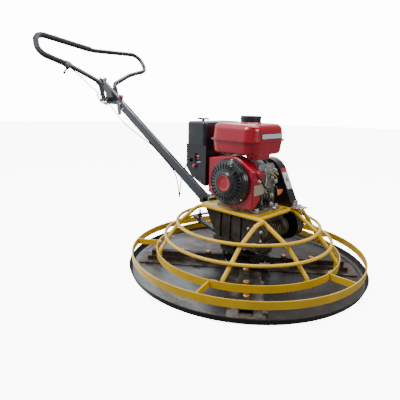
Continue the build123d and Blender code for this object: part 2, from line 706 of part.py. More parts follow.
# ---------------------------------------------------------------- fuel tank
TANK_MID = (-6.0, -19.0)
TANK_SIZE = (212.0, 208.0)
TANK_SEAM = 509.0
CAP_AT = (6.0, -20.0)
with BuildPart() as fuel_tank:
    with BuildSketch(Plane.XY.offset(TANK_SEAM)):
        with Locations(TANK_MID):
            RectangleRounded(*TANK_SIZE, 46)
    extrude(amount=58, taper=5)
    fillet(fuel_tank.edges().group_by(Axis.Z)[-1], 24)
    with BuildSketch(Plane.XY.offset(TANK_SEAM)):
        with Locations(TANK_MID):
            RectangleRounded(*TANK_SIZE, 46)
    extrude(amount=-51, taper=7)
    fillet(fuel_tank.edges().group_by(Axis.Z)[0], 12)
    with BuildSketch(Plane.XY.offset(466)):
        with Locations((65, -44)):
            RectangleRounded(56, 108, 24)
    extrude(amount=-24, taper=14)
    with BuildSketch(Plane.XY.offset(TANK_SEAM - 3)):
        with Locations(TANK_MID):
            RectangleRounded(TANK_SIZE[0] + 14, TANK_SIZE[1] + 14, 52)
    extrude(amount=6)
    with BuildSketch(Plane.XY.offset(560)):
        with Locations(CAP_AT):
            Circle(50)
    extrude(amount=11, taper=45)
    with Locations((TANK_MID[0], TANK_MID[1], 510)):
        Box(184, 180, 90, mode=Mode.SUBTRACT)
    with Locations((*CAP_AT, 560)):
        Cylinder(22, 60, mode=Mode.SUBTRACT)
store(fuel_tank.part, "fuel_tank")

CAP_RIBS = 24
with BuildPart() as fuel_cap:
    with Locations((*CAP_AT, 583)):
        Cylinder(38, 22)
    fillet(fuel_cap.edges().group_by(Axis.Z)[-1], 4)
    with Locations((*CAP_AT, 578)):
        with PolarLocations(38.5, CAP_RIBS):
            Cylinder(1.6, 14, mode=Mode.SUBTRACT)
    with Locations((*CAP_AT, 566)):
        Cylinder(21, 14)
store(fuel_cap.part, "fuel_cap")

# ---------------------------------------------------------------- air cleaner
CLEANER_X = (-231.0, -130.0)
CLEANER_TOP = 567.0
CLEANER_FRONT = -119.0
BASE_TOP = 478.0
with BuildPart() as air_cleaner_base:
    with BuildSketch(facing(-62)) as base_outline:
        with BuildLine():
            Polyline(
                (CLEANER_X[0], BASE_TOP), (-229, 386), (-199, 352), (-160, 334),
                (-131, 322), (-124, 322), (-124, BASE_TOP), close=True
            )
        make_face()
        fillet(base_outline.vertices().sort_by(Axis.X)[1:4], 9)
    extrude(amount=-CLEANER_FRONT - 62)
    with BuildSketch(facing(-62)):
        offset(base_outline.sketch, amount=-3)
    extrude(amount=-CLEANER_FRONT - 65, mode=Mode.SUBTRACT)
store(air_cleaner_base.part, "air_cleaner_base")

CLEANER_BACK = 95.0
with BuildPart() as air_cleaner_cover:
    with BuildSketch(Plane.XY.offset(BASE_TOP + 0.2)):
        with Locations((sum(CLEANER_X) / 2, (CLEANER_FRONT + CLEANER_BACK) / 2)):
            RectangleRounded(CLEANER_X[1] - CLEANER_X[0], CLEANER_BACK - CLEANER_FRONT, 14)
    extrude(amount=CLEANER_TOP - BASE_TOP)
    fillet(air_cleaner_cover.edges().group_by(Axis.Z)[-1], 10)
    with BuildSketch(Plane.XY.offset(BASE_TOP)):
        with Locations((sum(CLEANER_X) / 2, (CLEANER_FRONT + CLEANER_BACK) / 2)):
            RectangleRounded(CLEANER_X[1] - CLEANER_X[0] - 6, CLEANER_BACK - CLEANER_FRONT - 6, 11)
    extrude(amount=CLEANER_TOP - BASE_TOP - 4, mode=Mode.SUBTRACT)
    with Locations((-198, -60, CLEANER_TOP + 3)):
        Cylinder(6, 6)
    with Locations((-198, -60, CLEANER_TOP + 9)):
        Box(54, 10, 7)
store(air_cleaner_cover.part, "air_cleaner_cover")

with BuildPart() as air_filter:
    with BuildSketch(Plane.XY.offset(BASE_TOP + 6)):
        with Locations((sum(CLEANER_X) / 2, (CLEANER_FRONT + CLEANER_BACK) / 2)):
            RectangleRounded(76, 168, 18)
            RectangleRounded(44, 136, 8, mode=Mode.SUBTRACT)
    extrude(amount=62)
store(air_filter.part, "air_filter")

with BuildPart() as choke_lever:
    with Locations(Plane(origin=(-180, CLEANER_FRONT - 0.5, 416), z_dir=(0, -1, 0))):
        Cylinder(7, 5, align=(Align.CENTER, Align.CENTER, Align.MIN))
        with Locations((-14, 0, 4)):
            Box(30, 7, 4)
    with Locations((-207, CLEANER_FRONT - 6, 416)):
        Box(12, 9, 12)
store(choke_lever.part, "choke_lever")

with BuildPart() as oil_cap:
    with Locations(Plane(origin=(99.5, -34, 290), z_dir=(1, 0, 0))):
        Cylinder(15, 12, align=(Align.CENTER, Align.CENTER, Align.MIN))
        with Locations((0, 0, 15)):
            Box(24, 7, 8)
store(oil_cap.part, "oil_cap")

# ---------------------------------------------------------------- handle
ALONG = (-cos(radians(HANDLE_SLOPE)), 0, sin(radians(HANDLE_SLOPE)))
HANDLE = Plane(origin=HANDLE_FOOT, x_dir=ALONG, z_dir=(0, 1, 0))


def on_handle(along, above, y=0.0):
    """World point from its place along, above and beside the tube's centre line."""
    return HANDLE.from_local_coords((along, above, y))


# The bracket's two cheeks hold the tube's foot on a cross pin.
PIVOT = on_handle(PIVOT_AT, 0)
CHEEK_INNER = TUBE_W / 2 + 0.8
with BuildPart() as handle_bracket:
    for y in (CHEEK_INNER + 7, -CHEEK_INNER):
        with BuildSketch(facing(y)):
            with BuildLine():
                Polyline(
                    (-163.1, 200), (-163.1, 256), (-196, 258), (-252, 250), (-256, 238),
                    (-206, 200), close=True
                )
            make_face()
        extrude(amount=7)
    with Locations((-168.1, 0, 228)):
        Box(10, 84, 56)
    with Locations((PIVOT.X, 0, PIVOT.Z)):
        Cylinder(6, 52, rotation=(90, 0, 0))
    with Locations(*[(PIVOT.X, side * 28, PIVOT.Z) for side in (-1, 1)]):
        Cylinder(11, 8, rotation=(90, 0, 0))
    stop = on_handle(-18, TUBE_H / 2 + 5.3)
    with Locations((stop.X, 0, stop.Z)):
        Cylinder(5, 2 * CHEEK_INNER + 2, rotation=(90, 0, 0))
store(handle_bracket.part, "handle_bracket")

# Handlebar's own plane: local x across the machine, local y up along the bar.
UP_BAR = Vector(-cos(radians(BAR_SLOPE)), 0, sin(radians(BAR_SLOPE)))
ROLL_AXIS = Axis((0, 0, 0), ALONG)


def on_bar(up, across):
    """World point on the handlebar's plane, which is rolled about the tube."""
    offset_on_plane = UP_BAR * up + Vector(0, 1, 0) * across
    return Vector(*BAR_ROOT) + offset_on_plane.rotate(ROLL_AXIS, BAR_ROLL)


LEG_DOWN = Vector(0.346, 0, -0.938)      # the bar's two ends run down past the tube
LEG_LENGTH = 88.0
near_foot = on_bar(5, -45.5) + LEG_DOWN * LEG_LENGTH
far_root = on_bar(5, 45.5)
far_length = (near_foot - far_root).dot(LEG_DOWN)
far_foot = far_root + LEG_DOWN * far_length

bar_route = [
    near_foot, on_bar(5, -45.5), on_bar(80, -183), on_bar(135, -343), on_bar(257, -320),
    on_bar(220, 0), on_bar(262, 322), on_bar(150, 341), on_bar(87, 183), far_root, far_foot,
]
BAR_TURNS = [32, 60, 55, 55, 150, 55, 55, 60, 32]
with BuildPart() as handlebar:
    with BuildLine() as bar_line:
        FilletPolyline(*bar_route, radius=BAR_TURNS)
    with BuildSketch(Plane(origin=bar_line.line @ 0, z_dir=bar_line.line % 0)):
        Circle(BAR_TUBE_R)
        Circle(BAR_TUBE_R - 2, mode=Mode.SUBTRACT)
    sweep(path=bar_line.line)
store(handlebar.part, "handlebar")

CLAMP_LENGTH = 26.0
towards_lobe = (on_bar(135, -343) - on_bar(80, -183)).normalized()
clamp_centre = on_bar(80, -183) + towards_lobe * 21
grip_start = clamp_centre + towards_lobe * (CLAMP_LENGTH / 2 + 1)
grip_route = [grip_start, on_bar(135, -343), on_bar(257, -320), on_bar(222.5, -22)]
with BuildPart() as grip_sleeve:
    with BuildLine() as grip_line:
        FilletPolyline(*grip_route, radius=[55, 55])
    with BuildSketch(Plane(origin=grip_line.line @ 0, z_dir=grip_line.line % 0)):
        Circle(GRIP_R)
        Circle(BAR_TUBE_R + 0.1, mode=Mode.SUBTRACT)
    sweep(path=grip_line.line)
store(grip_sleeve.part, "grip_sleeve")

FORK_CENTRE = (near_foot + far_foot) / 2
FORK_PLATE = Plane(origin=FORK_CENTRE, x_dir=(0, 1, 0), z_dir=-LEG_DOWN)
with BuildPart() as handle_tube:
    with BuildSketch(HANDLE.offset(-TUBE_W / 2)):
        with Locations(((TUBE_END - 30) / 2, 0)):
            RectangleRounded(TUBE_END + 30, TUBE_H, 0.5)
    extrude(amount=TUBE_W)
    with BuildSketch(HANDLE.offset(-TUBE_W / 2 + 2.5)):
        with Locations(((TUBE_END - 30) / 2, 0)):
            Rectangle(TUBE_END + 40, TUBE_H - 5)
    extrude(amount=TUBE_W - 5, mode=Mode.SUBTRACT)
    with BuildSketch(HANDLE.offset(-4)):
        with BuildLine():
            Polyline((772, -19.9), (846, -64), (866, -64), (898, -19.9), close=True)
        make_face()
    extrude(amount=8)
    with BuildSketch(FORK_PLATE.offset(-8.02)):
        RectangleRounded(122, 42, 12)
    extrude(amount=8)
    with Locations((PIVOT.X, 0, PIVOT.Z)):
        Cylinder(6 + RUN, 40, rotation=(90, 0, 0), mode=Mode.SUBTRACT)
store(handle_tube.part, "handle_tube")

# ---------------------------------------------------------------- handle fittings
ESTOP_AT = 768.0
SADDLE_LOW = (719.0, -42.0)
with BuildPart() as handle_fittings:
    with Locations(Plane(origin=clamp_centre, z_dir=towards_lobe)):
        Cylinder(BAR_TUBE_R + 6, CLAMP_LENGTH)
        Cylinder(BAR_TUBE_R + 0.1, CLAMP_LENGTH, mode=Mode.SUBTRACT)
    with Locations(Plane(origin=on_handle(ESTOP_AT, TUBE_H / 2 + 0.1), z_dir=HANDLE.y_dir)):
        Cylinder(13, 7, align=(Align.CENTER, Align.CENTER, Align.MIN))
        Cylinder(5 + RUN, 7, align=(Align.CENTER, Align.CENTER, Align.MIN), mode=Mode.SUBTRACT)
    with BuildSketch(HANDLE.offset(-TUBE_W / 2 - 0.1)):
        with Locations((740, -17)):
            SlotOverall(76, 27, rotation=50)
    extrude(amount=-5)
    with Locations(Plane(origin=on_handle(*SADDLE_LOW, -TUBE_W / 2 - 5.2), z_dir=(0, -1, 0))):
        Cylinder(5, 4, align=(Align.CENTER, Align.CENTER, Align.MIN))
store(handle_fittings.part, "handle_fittings")

with BuildPart() as estop_button:
    with Locations(Plane(origin=on_handle(ESTOP_AT, TUBE_H / 2 + 4.7), z_dir=HANDLE.y_dir)):
        Cylinder(5, 9.8, align=(Align.CENTER, Align.CENTER, Align.MIN))
        with Locations((0, 0, 7.8)):
            Cylinder(13, 7, align=(Align.CENTER, Align.CENTER, Align.MIN))
    mushroom_top = estop_button.edges().group_by(Axis(HANDLE_FOOT, HANDLE.y_dir))[-1]
    fillet(mushroom_top, 6)
store(estop_button.part, "estop_button")

# Curved dead-man lever beside the fork plate, turning on the gusset's lower tip.
SAFETY_Y = -20.0
SAFETY_PIVOT = Vector(-972, 0, 627)
safety_route = [
    (-944, SAFETY_Y, 620), (SAFETY_PIVOT.X, SAFETY_Y, SAFETY_PIVOT.Z - 4),
    (-1018, SAFETY_Y, 640), (-1042, SAFETY_Y, 676),
]
with BuildPart() as safety_lever:
    add(rod(safety_route, [40, 22], 4))
    with Locations((SAFETY_PIVOT.X, SAFETY_Y + 2, SAFETY_PIVOT.Z)):
        Cylinder(8, 10, rotation=(90, 0, 0))
    with Locations((SAFETY_PIVOT.X, -10.5, SAFETY_PIVOT.Z)):
        Cylinder(4, 12.8, rotation=(90, 0, 0))
store(safety_lever.part, "safety_lever")

# Thumb throttle, a small lever on the clamp at the bar's near side.
across_clamp = towards_lobe.cross(UP_BAR.rotate(ROLL_AXIS, BAR_ROLL)).normalized()
inward = across_clamp.cross(towards_lobe).normalized()
throttle_seat = clamp_centre - inward * (BAR_TUBE_R + 6.5)
with BuildPart() as throttle_lever:
    with Locations(Plane(origin=throttle_seat, x_dir=towards_lobe, z_dir=-inward)):
        Cylinder(9, 7, align=(Align.CENTER, Align.CENTER, Align.MIN))
        with Locations((0, 18, 4)):
            Box(7, 36, 5)
        with Locations((0, 38, 4)):
            Cylinder(6, 9)
store(throttle_lever.part, "throttle_lever")

# Five-lobed pitch knob at the top of the tube, on the adjusting screw.
LOBES = 5
KNOB_AT = TUBE_END + 2
star_points = []
for lobe in range(LOBES):
    for reach, turn in ((38, 0), (17, 36)):
        angle = radians(72 * lobe + turn + 18)
        star_points.append((reach * cos(angle), reach * sin(angle)))
with BuildPart() as pitch_knob:
    with BuildSketch(Plane(origin=on_handle(KNOB_AT, 0), x_dir=(0, 1, 0), z_dir=ALONG)) as star:
        with BuildLine():
            Polyline(*star_points, close=True)
        make_face()
        fillet(star.vertices(), 3)
    extrude(amount=18)
    fillet(pitch_knob.edges().group_by(Axis(HANDLE_FOOT, ALONG))[-1], 3)
    with Locations(Plane(origin=on_handle(KNOB_AT - 60, 0), z_dir=ALONG)):
        Cylinder(7, 60, align=(Align.CENTER, Align.CENTER, Align.MIN))
store(pitch_knob.part, "pitch_knob")

# ---------------------------------------------------------------- throttle cable
# One cable from the thumb lever, down beside the tube, hanging in a narrow loop
# near the foot, then up behind the tube to the engine's control.
CABLE_R = 2.5
cable_start = clamp_centre - towards_lobe * (CLAMP_LENGTH / 2 + 1.6) - inward * (BAR_TUBE_R + 3.4)
cable_points = [
    tuple(cable_start), (-977, -164, 768), (-953, -150, 741), (-930, -121, 707), (-918, -80, 671),
    (-905, -44, 633), (-874, -31, 598), (-835, -25, 560), (-796, -20, 530), (-752, -16, 506),
    (-708, -13.3, 488), (-655, -13, 464), (-600, -12.9, 446), (-540, -12.8, 410), (-480, -12.8, 372),
    (-436, -12.8, 343), (-412, -12.6, 318), (-397, -12, 281), (-389, -12, 246), (-386, -12, 213),
    (-409, 13, 213), (-407, 14, 250), (-404, 15, 289), (-391, 15.5, 323), (-375, 16, 355),
    (-352, 6, 382), (-318, -18, 400), (-276, -50, 408), (-232.2, -84, 410),
]


def cable_turns(points, spare=0.45):
    """Largest arc that the two runs beside each corner leave room for."""
    turns = []
    for before, here, after in zip(points, points[1:], points[2:]):
        run_in = Vector(*here) - Vector(*before)
        run_out = Vector(*after) - Vector(*here)
        half_turn = radians(run_in.get_angle(run_out)) / 2
        turns.append(spare * min(run_in.length, run_out.length) * cos(half_turn) / sin(half_turn))
    return turns


cable_radii = cable_turns(cable_points)
with BuildPart() as throttle_cable:
    with BuildLine() as cable_line:
        FilletPolyline(*cable_points, radius=cable_radii)
    with BuildSketch(Plane(origin=cable_line.line @ 0, z_dir=cable_line.line % 0)):
        Circle(CABLE_R)
    sweep(path=cable_line.line)
store(throttle_cable.part, "throttle_cable")
cable_length = sum(edge.length for edge in cable_line.edges())
print("cable radii", [round(r) for r in cable_radii])
print("cable length", round(cable_length))
print("volume over section times length", throttle_cable.part.volume / (pi * CABLE_R ** 2 * cable_length))

# ---------------------------------------------------------------- loose fasteners
with BuildPart() as frame_bolts:
    for x, y in COVER_BOLTS:
        with Locations(Plane(origin=(x, y, COVER_LOW - 0.05), z_dir=(0, 0, -1))):
            add(bolt_m8)
    with Locations(*[(x, y, ENGINE_Z + 12.05) for x, y in ENGINE_BOLTS]):
        add(bolt_m10)
    for index in range(STRUT_COUNT):
        outward = 360 / STRUT_COUNT * index + 2.6
        seat = MIDDLE_R - FLAT_BAR - 5.8
        for height in (64, 75):
            with Locations(Plane(origin=polar(seat, outward, height), z_dir=polar(-1, outward, 0))):
                add(hex_bolt(10, 4.5, 3, 0.04))
    for x, z in ((-184, 246), (-210, 213)):
        for side in (-1, 1):
            seat_y = side * (CHEEK_INNER + 7.05)
            with Locations(Plane(origin=(x, seat_y, z), z_dir=(0, side, 0))):
                add(hex_bolt(16, 8, 5, 0.04))
store(frame_bolts.part, "frame_bolts")
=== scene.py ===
import json
import math

import bmesh
import bpy
from mathutils import Matrix, Vector


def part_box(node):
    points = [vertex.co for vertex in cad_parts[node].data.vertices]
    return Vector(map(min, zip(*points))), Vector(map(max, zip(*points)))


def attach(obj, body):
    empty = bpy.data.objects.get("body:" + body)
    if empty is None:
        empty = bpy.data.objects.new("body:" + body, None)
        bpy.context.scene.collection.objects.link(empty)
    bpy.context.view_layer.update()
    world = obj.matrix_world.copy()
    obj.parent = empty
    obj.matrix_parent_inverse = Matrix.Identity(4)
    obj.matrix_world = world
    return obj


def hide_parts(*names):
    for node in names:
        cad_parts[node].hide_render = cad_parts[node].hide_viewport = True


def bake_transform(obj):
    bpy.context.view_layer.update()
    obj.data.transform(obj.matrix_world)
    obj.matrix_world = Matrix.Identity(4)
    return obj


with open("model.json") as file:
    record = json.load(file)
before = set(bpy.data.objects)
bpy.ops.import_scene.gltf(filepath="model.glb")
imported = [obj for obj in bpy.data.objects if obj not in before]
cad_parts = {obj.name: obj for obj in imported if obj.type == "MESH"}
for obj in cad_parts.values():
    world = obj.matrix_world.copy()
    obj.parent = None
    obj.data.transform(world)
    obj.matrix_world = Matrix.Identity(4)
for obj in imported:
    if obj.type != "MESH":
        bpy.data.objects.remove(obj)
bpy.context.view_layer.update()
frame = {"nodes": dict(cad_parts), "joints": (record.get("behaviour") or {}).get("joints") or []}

CHASSIS = "chassis"
MM = 0.001


def axis_of(joint_name):
    """Unit vector of a joint's axis in the row frame."""
    joint = next(j for j in frame["joints"] if j["name"] == joint_name)
    return Vector(joint["axis"]).normalized()


def place_of(joint_name):
    """The point that a hinge turns about."""
    joint = next(j for j in frame["joints"] if j["name"] == joint_name)
    return Vector(joint["pos_m"])


# ---------------------------------------------------------------- camera
CAMERA_AT = Vector((0.8768, -1.1850, 0.6269))
CAMERA_RIGHT = Vector((0.71649, 0.69725, 0.02206))
CAMERA_UP = Vector((-0.18245, 0.15678, 0.97063))


def add_camera():
    """Camera at the angle from which the machine is judged, rolled a little."""
    data = bpy.data.cameras.new("camera")
    data.lens = 34.52
    data.sensor_width = 36
    data.clip_start = 0.05
    data.clip_end = 60
    camera = bpy.data.objects.new("camera", data)
    back = CAMERA_RIGHT.cross(CAMERA_UP)
    turn = Matrix((CAMERA_RIGHT, CAMERA_UP, back)).transposed().to_4x4()
    camera.matrix_world = Matrix.Translation(CAMERA_AT) @ turn
    bpy.context.scene.collection.objects.link(camera)
    bpy.context.scene.camera = camera


add_camera()


# ---------------------------------------------------------------- materials
class Recipe:
    """A node material under construction, laid out on the object's own coordinates."""

    def __init__(self, name, metallic=0.0, coat=0.0, coat_roughness=0.1, sheen=0.0):
        self.material = bpy.data.materials.new(name)
        self.material.use_nodes = True
        self.nodes = self.material.node_tree.nodes
        self.links = self.material.node_tree.links
        self.shader = self.nodes["Principled BSDF"]
        self.shader.inputs["Metallic"].default_value = metallic
        self.shader.inputs["Coat Weight"].default_value = coat
        self.shader.inputs["Coat Roughness"].default_value = coat_roughness
        self.shader.inputs["Sheen Weight"].default_value = sheen
        self.shader.inputs["IOR"].default_value = 1.5
        self.place = self.nodes.new("ShaderNodeTexCoord").outputs["Object"]

    def join(self, value, socket):
        """Feed a socket from a number, a colour or another node."""
        if isinstance(value, bpy.types.NodeSocket):
            self.links.new(value, socket)
        elif isinstance(value, (tuple, list)) and len(value) == 3 and socket.type == "RGBA":
            socket.default_value = (*value, 1)
        else:
            socket.default_value = value

    def stretched(self, scale):
        node = self.nodes.new("ShaderNodeMapping")
        node.inputs["Scale"].default_value = scale
        self.links.new(self.place, node.inputs["Vector"])
        return node.outputs["Vector"]

    def noise(self, scale, detail=4.0, rough=0.55, stretch=None, warp=0.0):
        node = self.nodes.new("ShaderNodeTexNoise")
        node.inputs["Scale"].default_value = scale
        node.inputs["Detail"].default_value = detail
        node.inputs["Roughness"].default_value = rough
        node.inputs["Distortion"].default_value = warp
        self.links.new(self.stretched(stretch) if stretch else self.place, node.inputs["Vector"])
        return node.outputs["Fac"]

    def cells(self, scale):
        node = self.nodes.new("ShaderNodeTexVoronoi")
        node.feature = "F1"
        node.inputs["Scale"].default_value = scale
        self.links.new(self.place, node.inputs["Vector"])
        return node.outputs["Distance"]

    def math(self, operation, first, second=0.0):
        node = self.nodes.new("ShaderNodeMath")
        node.operation = operation
        self.join(first, node.inputs[0])
        self.join(second, node.inputs[1])
        return node.outputs[0]

    def between(self, value, low, high, to_low=0.0, to_high=1.0):
        """Map a value smoothly from one range to another, clamped."""
        node = self.nodes.new("ShaderNodeMapRange")
        node.interpolation_type = "SMOOTHSTEP"
        self.join(value, node.inputs["Value"])
        node.inputs["From Min"].default_value = low
        node.inputs["From Max"].default_value = high
        node.inputs["To Min"].default_value = to_low
        node.inputs["To Max"].default_value = to_high
        return node.outputs["Result"]

    def mix(self, factor, first, second):
        node = self.nodes.new("ShaderNodeMix")
        node.data_type = "RGBA"
        self.join(factor, node.inputs["Factor"])
        self.join(first, node.inputs["A"])
        self.join(second, node.inputs["B"])
        return node.outputs["Result"]

    def axis(self, letter):
        node = self.nodes.new("ShaderNodeSeparateXYZ")
        self.links.new(self.place, node.inputs[0])
        return node.outputs[letter]

    def radius(self):
        """Distance from the rotor's axis."""
        across = self.math("POWER", self.axis("X"), 2)
        along = self.math("POWER", self.axis("Y"), 2)
        return self.math("SQRT", self.math("ADD", across, along))

    def upward(self):
        """How far a surface faces up, from the true normal."""
        geometry = self.nodes.new("ShaderNodeNewGeometry")
        node = self.nodes.new("ShaderNodeSeparateXYZ")
        self.links.new(geometry.outputs["Normal"], node.inputs[0])
        return node.outputs["Z"]

    def bump(self, height, distance, strength=1.0):
        node = self.nodes.new("ShaderNodeBump")
        node.inputs["Distance"].default_value = distance
        node.inputs["Strength"].default_value = strength
        self.join(height, node.inputs["Height"])
        if self.shader.inputs["Normal"].is_linked:
            self.links.new(self.shader.inputs["Normal"].links[0].from_socket, node.inputs["Normal"])
        self.links.new(node.outputs["Normal"], self.shader.inputs["Normal"])

    def finish(self, colour, roughness, metallic=None):
        self.join(colour, self.shader.inputs["Base Color"])
        self.join(roughness, self.shader.inputs["Roughness"])
        if metallic is not None:
            self.join(metallic, self.shader.inputs["Metallic"])
        return self.material


def paint(name, colour, worn, coat=0.6, gloss=0.28, dust=0.25, dust_colour=(0.20, 0.17, 0.13)):
    """Sprayed enamel: orange peel, uneven gloss, dust on upward faces and small chips."""
    recipe = Recipe(name, coat=coat, coat_roughness=0.08)
    shade = recipe.between(recipe.noise(7, 3), 0.3, 0.7)
    base = recipe.mix(shade, colour, tuple(c * 0.78 for c in colour))
    chips = recipe.between(recipe.noise(95, 6, 0.7), 0.69, 0.72)
    base = recipe.mix(chips, base, worn)
    settled = recipe.math("MULTIPLY", recipe.between(recipe.upward(), 0.35, 1.0), dust)
    settled = recipe.math("MULTIPLY", settled, recipe.between(recipe.noise(22, 5), 0.38, 0.68))
    base = recipe.mix(settled, base, dust_colour)
    recipe.bump(recipe.noise(420, 2), 0.00012, 0.35)
    recipe.bump(chips, -0.00015, 0.5)
    rough = recipe.between(recipe.noise(16, 4), 0.3, 0.7, gloss, gloss + 0.14)
    return recipe.finish(base, recipe.math("ADD", rough, recipe.math("MULTIPLY", chips, 0.3)))


def cast_metal(name, colour, stain, metallic=0.3, grain=0.0004, rough=0.55):
    """Sand-cast metal: pitted grain, oil stains and rubbed high spots."""
    recipe = Recipe(name, metallic=metallic)
    stains = recipe.between(recipe.noise(13, 6, 0.65, warp=0.6), 0.42, 0.62)
    rubbed = recipe.between(recipe.noise(60, 5, 0.7), 0.62, 0.74)
    base = recipe.mix(stains, colour, stain)
    base = recipe.mix(rubbed, base, tuple(min(1, c * 2.1) for c in colour))
    recipe.bump(recipe.noise(380, 6, 0.7), grain, 0.8)
    recipe.bump(recipe.cells(520), grain * 0.5, 0.4)
    return recipe.finish(base, recipe.between(recipe.noise(40, 4), 0.3, 0.7, rough - 0.14, rough + 0.16))


def turned_metal(name, colour, rough=0.25, grain=(1, 1, 1), tint=(0.3, 0.24, 0.18), spread=0.16):
    """Bare machined or plated metal: fine tool lines and light tarnish."""
    recipe = Recipe(name, metallic=1.0)
    tarnish = recipe.between(recipe.noise(34, 5, 0.6), 0.5, 0.8, 0, 0.55)
    base = recipe.mix(tarnish, colour, tint)
    lines = recipe.noise(260, 3, 0.6, stretch=grain)
    recipe.bump(lines, 0.00008, 0.5)
    return recipe.finish(base, recipe.between(lines, 0.3, 0.7, rough, rough + spread))


def moulded(name, colour, rough=0.45, grain=420, depth=0.00012, coat=0.0):
    """Moulded plastic or rubber: fine spark-eroded grain, dusty hollows, rubbed sheen."""
    recipe = Recipe(name, coat=coat, coat_roughness=0.25)
    rub = recipe.between(recipe.noise(14, 4), 0.35, 0.7)
    base = recipe.mix(rub, colour, tuple(min(1, c * 1.7 + 0.004) for c in colour))
    recipe.bump(recipe.noise(grain, 3, 0.6), depth, 0.6)
    return recipe.finish(base, recipe.between(recipe.noise(24, 5), 0.3, 0.75, rough - 0.1, rough + 0.12))


def pan_finish():
    """Rolled steel pan: blue-grey floor with scrape arcs, brown stains, painted shade darkening its +X+Y
    side, and a blackened rim.
    """
    recipe = Recipe("pan_steel_worn_painted_shade", metallic=0.92)
    reach = recipe.radius()
    scraped = recipe.noise(5, 8, 0.7, stretch=(1.0, 6.0, 1.0), warp=0.8)
    blotch = recipe.between(recipe.noise(4.2, 7, 0.62, warp=0.5), 0.42, 0.66)
    speckle = recipe.between(recipe.noise(85, 6, 0.75), 0.56, 0.72)
    base = recipe.mix(recipe.between(scraped, 0.35, 0.65), (0.20, 0.215, 0.235), (0.30, 0.315, 0.335))
    base = recipe.mix(recipe.math("MULTIPLY", blotch, 0.75), base, (0.085, 0.064, 0.05))
    base = recipe.mix(recipe.math("MULTIPLY", speckle, 0.45), base, (0.05, 0.04, 0.034))
    # Painted shade: the colour darkens towards +X+Y, standing in for weaker reflected light on that side of
    # the pan.
    side = recipe.between(recipe.math("ADD", recipe.axis("X"), recipe.axis("Y")), -0.45, 0.20, 0.10, 0.86)
    base = recipe.mix(side, base, (0.038, 0.030, 0.026))
    rim = recipe.between(reach, 0.449, 0.456)
    base = recipe.mix(rim, base, (0.018, 0.016, 0.016))
    rings = recipe.noise(60, 4, 0.6, stretch=(0.3, 1.0, 1.0), warp=1.5)
    recipe.bump(rings, 0.0004, 0.35)
    recipe.bump(speckle, -0.0002, 0.5)
    rough = recipe.between(scraped, 0.3, 0.7, 0.24, 0.42)
    rough = recipe.math("ADD", rough, recipe.math("MULTIPLY", blotch, 0.18))
    rough = recipe.math("ADD", rough, recipe.math("MULTIPLY", rim, 0.12))
    metal = recipe.between(rim, 0.0, 1.0, 0.92, 0.35)
    return recipe.finish(base, rough, metal)


def arm_finish():
    """Dark cast trowel arms, with copper-coloured bolt heads standing above the bar."""
    recipe = Recipe("arm_casting", metallic=0.55)
    bolt = recipe.math(
        "MULTIPLY",
        recipe.between(recipe.axis("Z"), 0.0432, 0.0438),
        recipe.between(recipe.radius(), 0.118, 0.12),
    )
    stains = recipe.between(recipe.noise(26, 6, 0.65), 0.4, 0.65)
    base = recipe.mix(stains, (0.062, 0.052, 0.046), (0.026, 0.021, 0.019))
    mud = recipe.between(recipe.noise(70, 6, 0.7), 0.55, 0.72)
    base = recipe.mix(mud, base, (0.16, 0.135, 0.11))
    base = recipe.mix(bolt, base, (0.62, 0.30, 0.13))
    recipe.bump(recipe.noise(240, 6, 0.7), 0.0006, 0.7)
    rough = recipe.between(recipe.noise(50, 4), 0.3, 0.7, 0.34, 0.62)
    rough = recipe.math("SUBTRACT", rough, recipe.math("MULTIPLY", bolt, 0.12))
    return recipe.finish(base, rough)


def blade_finish():
    """Spring-steel blades: brown scale and cement film, scraped brighter along their length."""
    recipe = Recipe("blade_steel_worn", metallic=0.7)
    film = recipe.between(recipe.noise(17, 7, 0.68, warp=0.4), 0.4, 0.68)
    base = recipe.mix(film, (0.105, 0.082, 0.066), (0.22, 0.195, 0.175))
    pits = recipe.between(recipe.noise(150, 5, 0.7), 0.58, 0.7)
    base = recipe.mix(pits, base, (0.03, 0.024, 0.021))
    recipe.bump(recipe.noise(130, 6, 0.7), 0.0005, 0.6)
    return recipe.finish(base, recipe.between(film, 0.0, 1.0, 0.33, 0.6))


def recoil_finish():
    """Black starter cover, glossy on the spun ridges and dusty between them."""
    recipe = Recipe("starter_cover_black", coat=0.55, coat_roughness=0.12)
    dusty = recipe.between(recipe.noise(30, 5), 0.42, 0.7, 0, 0.5)
    base = recipe.mix(dusty, (0.012, 0.013, 0.016), (0.032, 0.033, 0.037))
    recipe.bump(recipe.noise(500, 3), 0.0001, 0.4)
    return recipe.finish(base, recipe.between(recipe.noise(18, 4), 0.3, 0.7, 0.25, 0.42))


def foam_finish():
    """Closed-cell foam handlebar grip: fine pores and flattened shiny patches."""
    recipe = Recipe("grip_foam", sheen=0.25)
    pores = recipe.cells(700)
    rubbed = recipe.between(recipe.noise(11, 4), 0.35, 0.7)
    base = recipe.mix(rubbed, (0.010, 0.012, 0.018), (0.026, 0.030, 0.040))
    recipe.bump(pores, 0.0004, 0.7)
    recipe.bump(recipe.noise(60, 3), 0.0008, 0.4)
    return recipe.finish(base, recipe.between(recipe.noise(20, 3), 0.3, 0.7, 0.5, 0.72))


def sticker(name, colour, header=None, split_axis="Z", split_at=0.0):
    """Blank printed film, with a coloured band where a header would be."""
    recipe = Recipe(name, coat=0.3, coat_roughness=0.2)
    scuff = recipe.between(recipe.noise(120, 5, 0.7), 0.55, 0.72, 0, 0.35)
    base = recipe.mix(scuff, colour, tuple(c * 0.55 for c in colour))
    if header:
        above = recipe.between(recipe.axis(split_axis), split_at - 0.0004, split_at + 0.0004)
        base = recipe.mix(above, base, header)
    recipe.bump(recipe.noise(300, 2), 0.00005, 0.3)
    return recipe.finish(base, recipe.between(recipe.noise(25, 3), 0.3, 0.7, 0.32, 0.5))


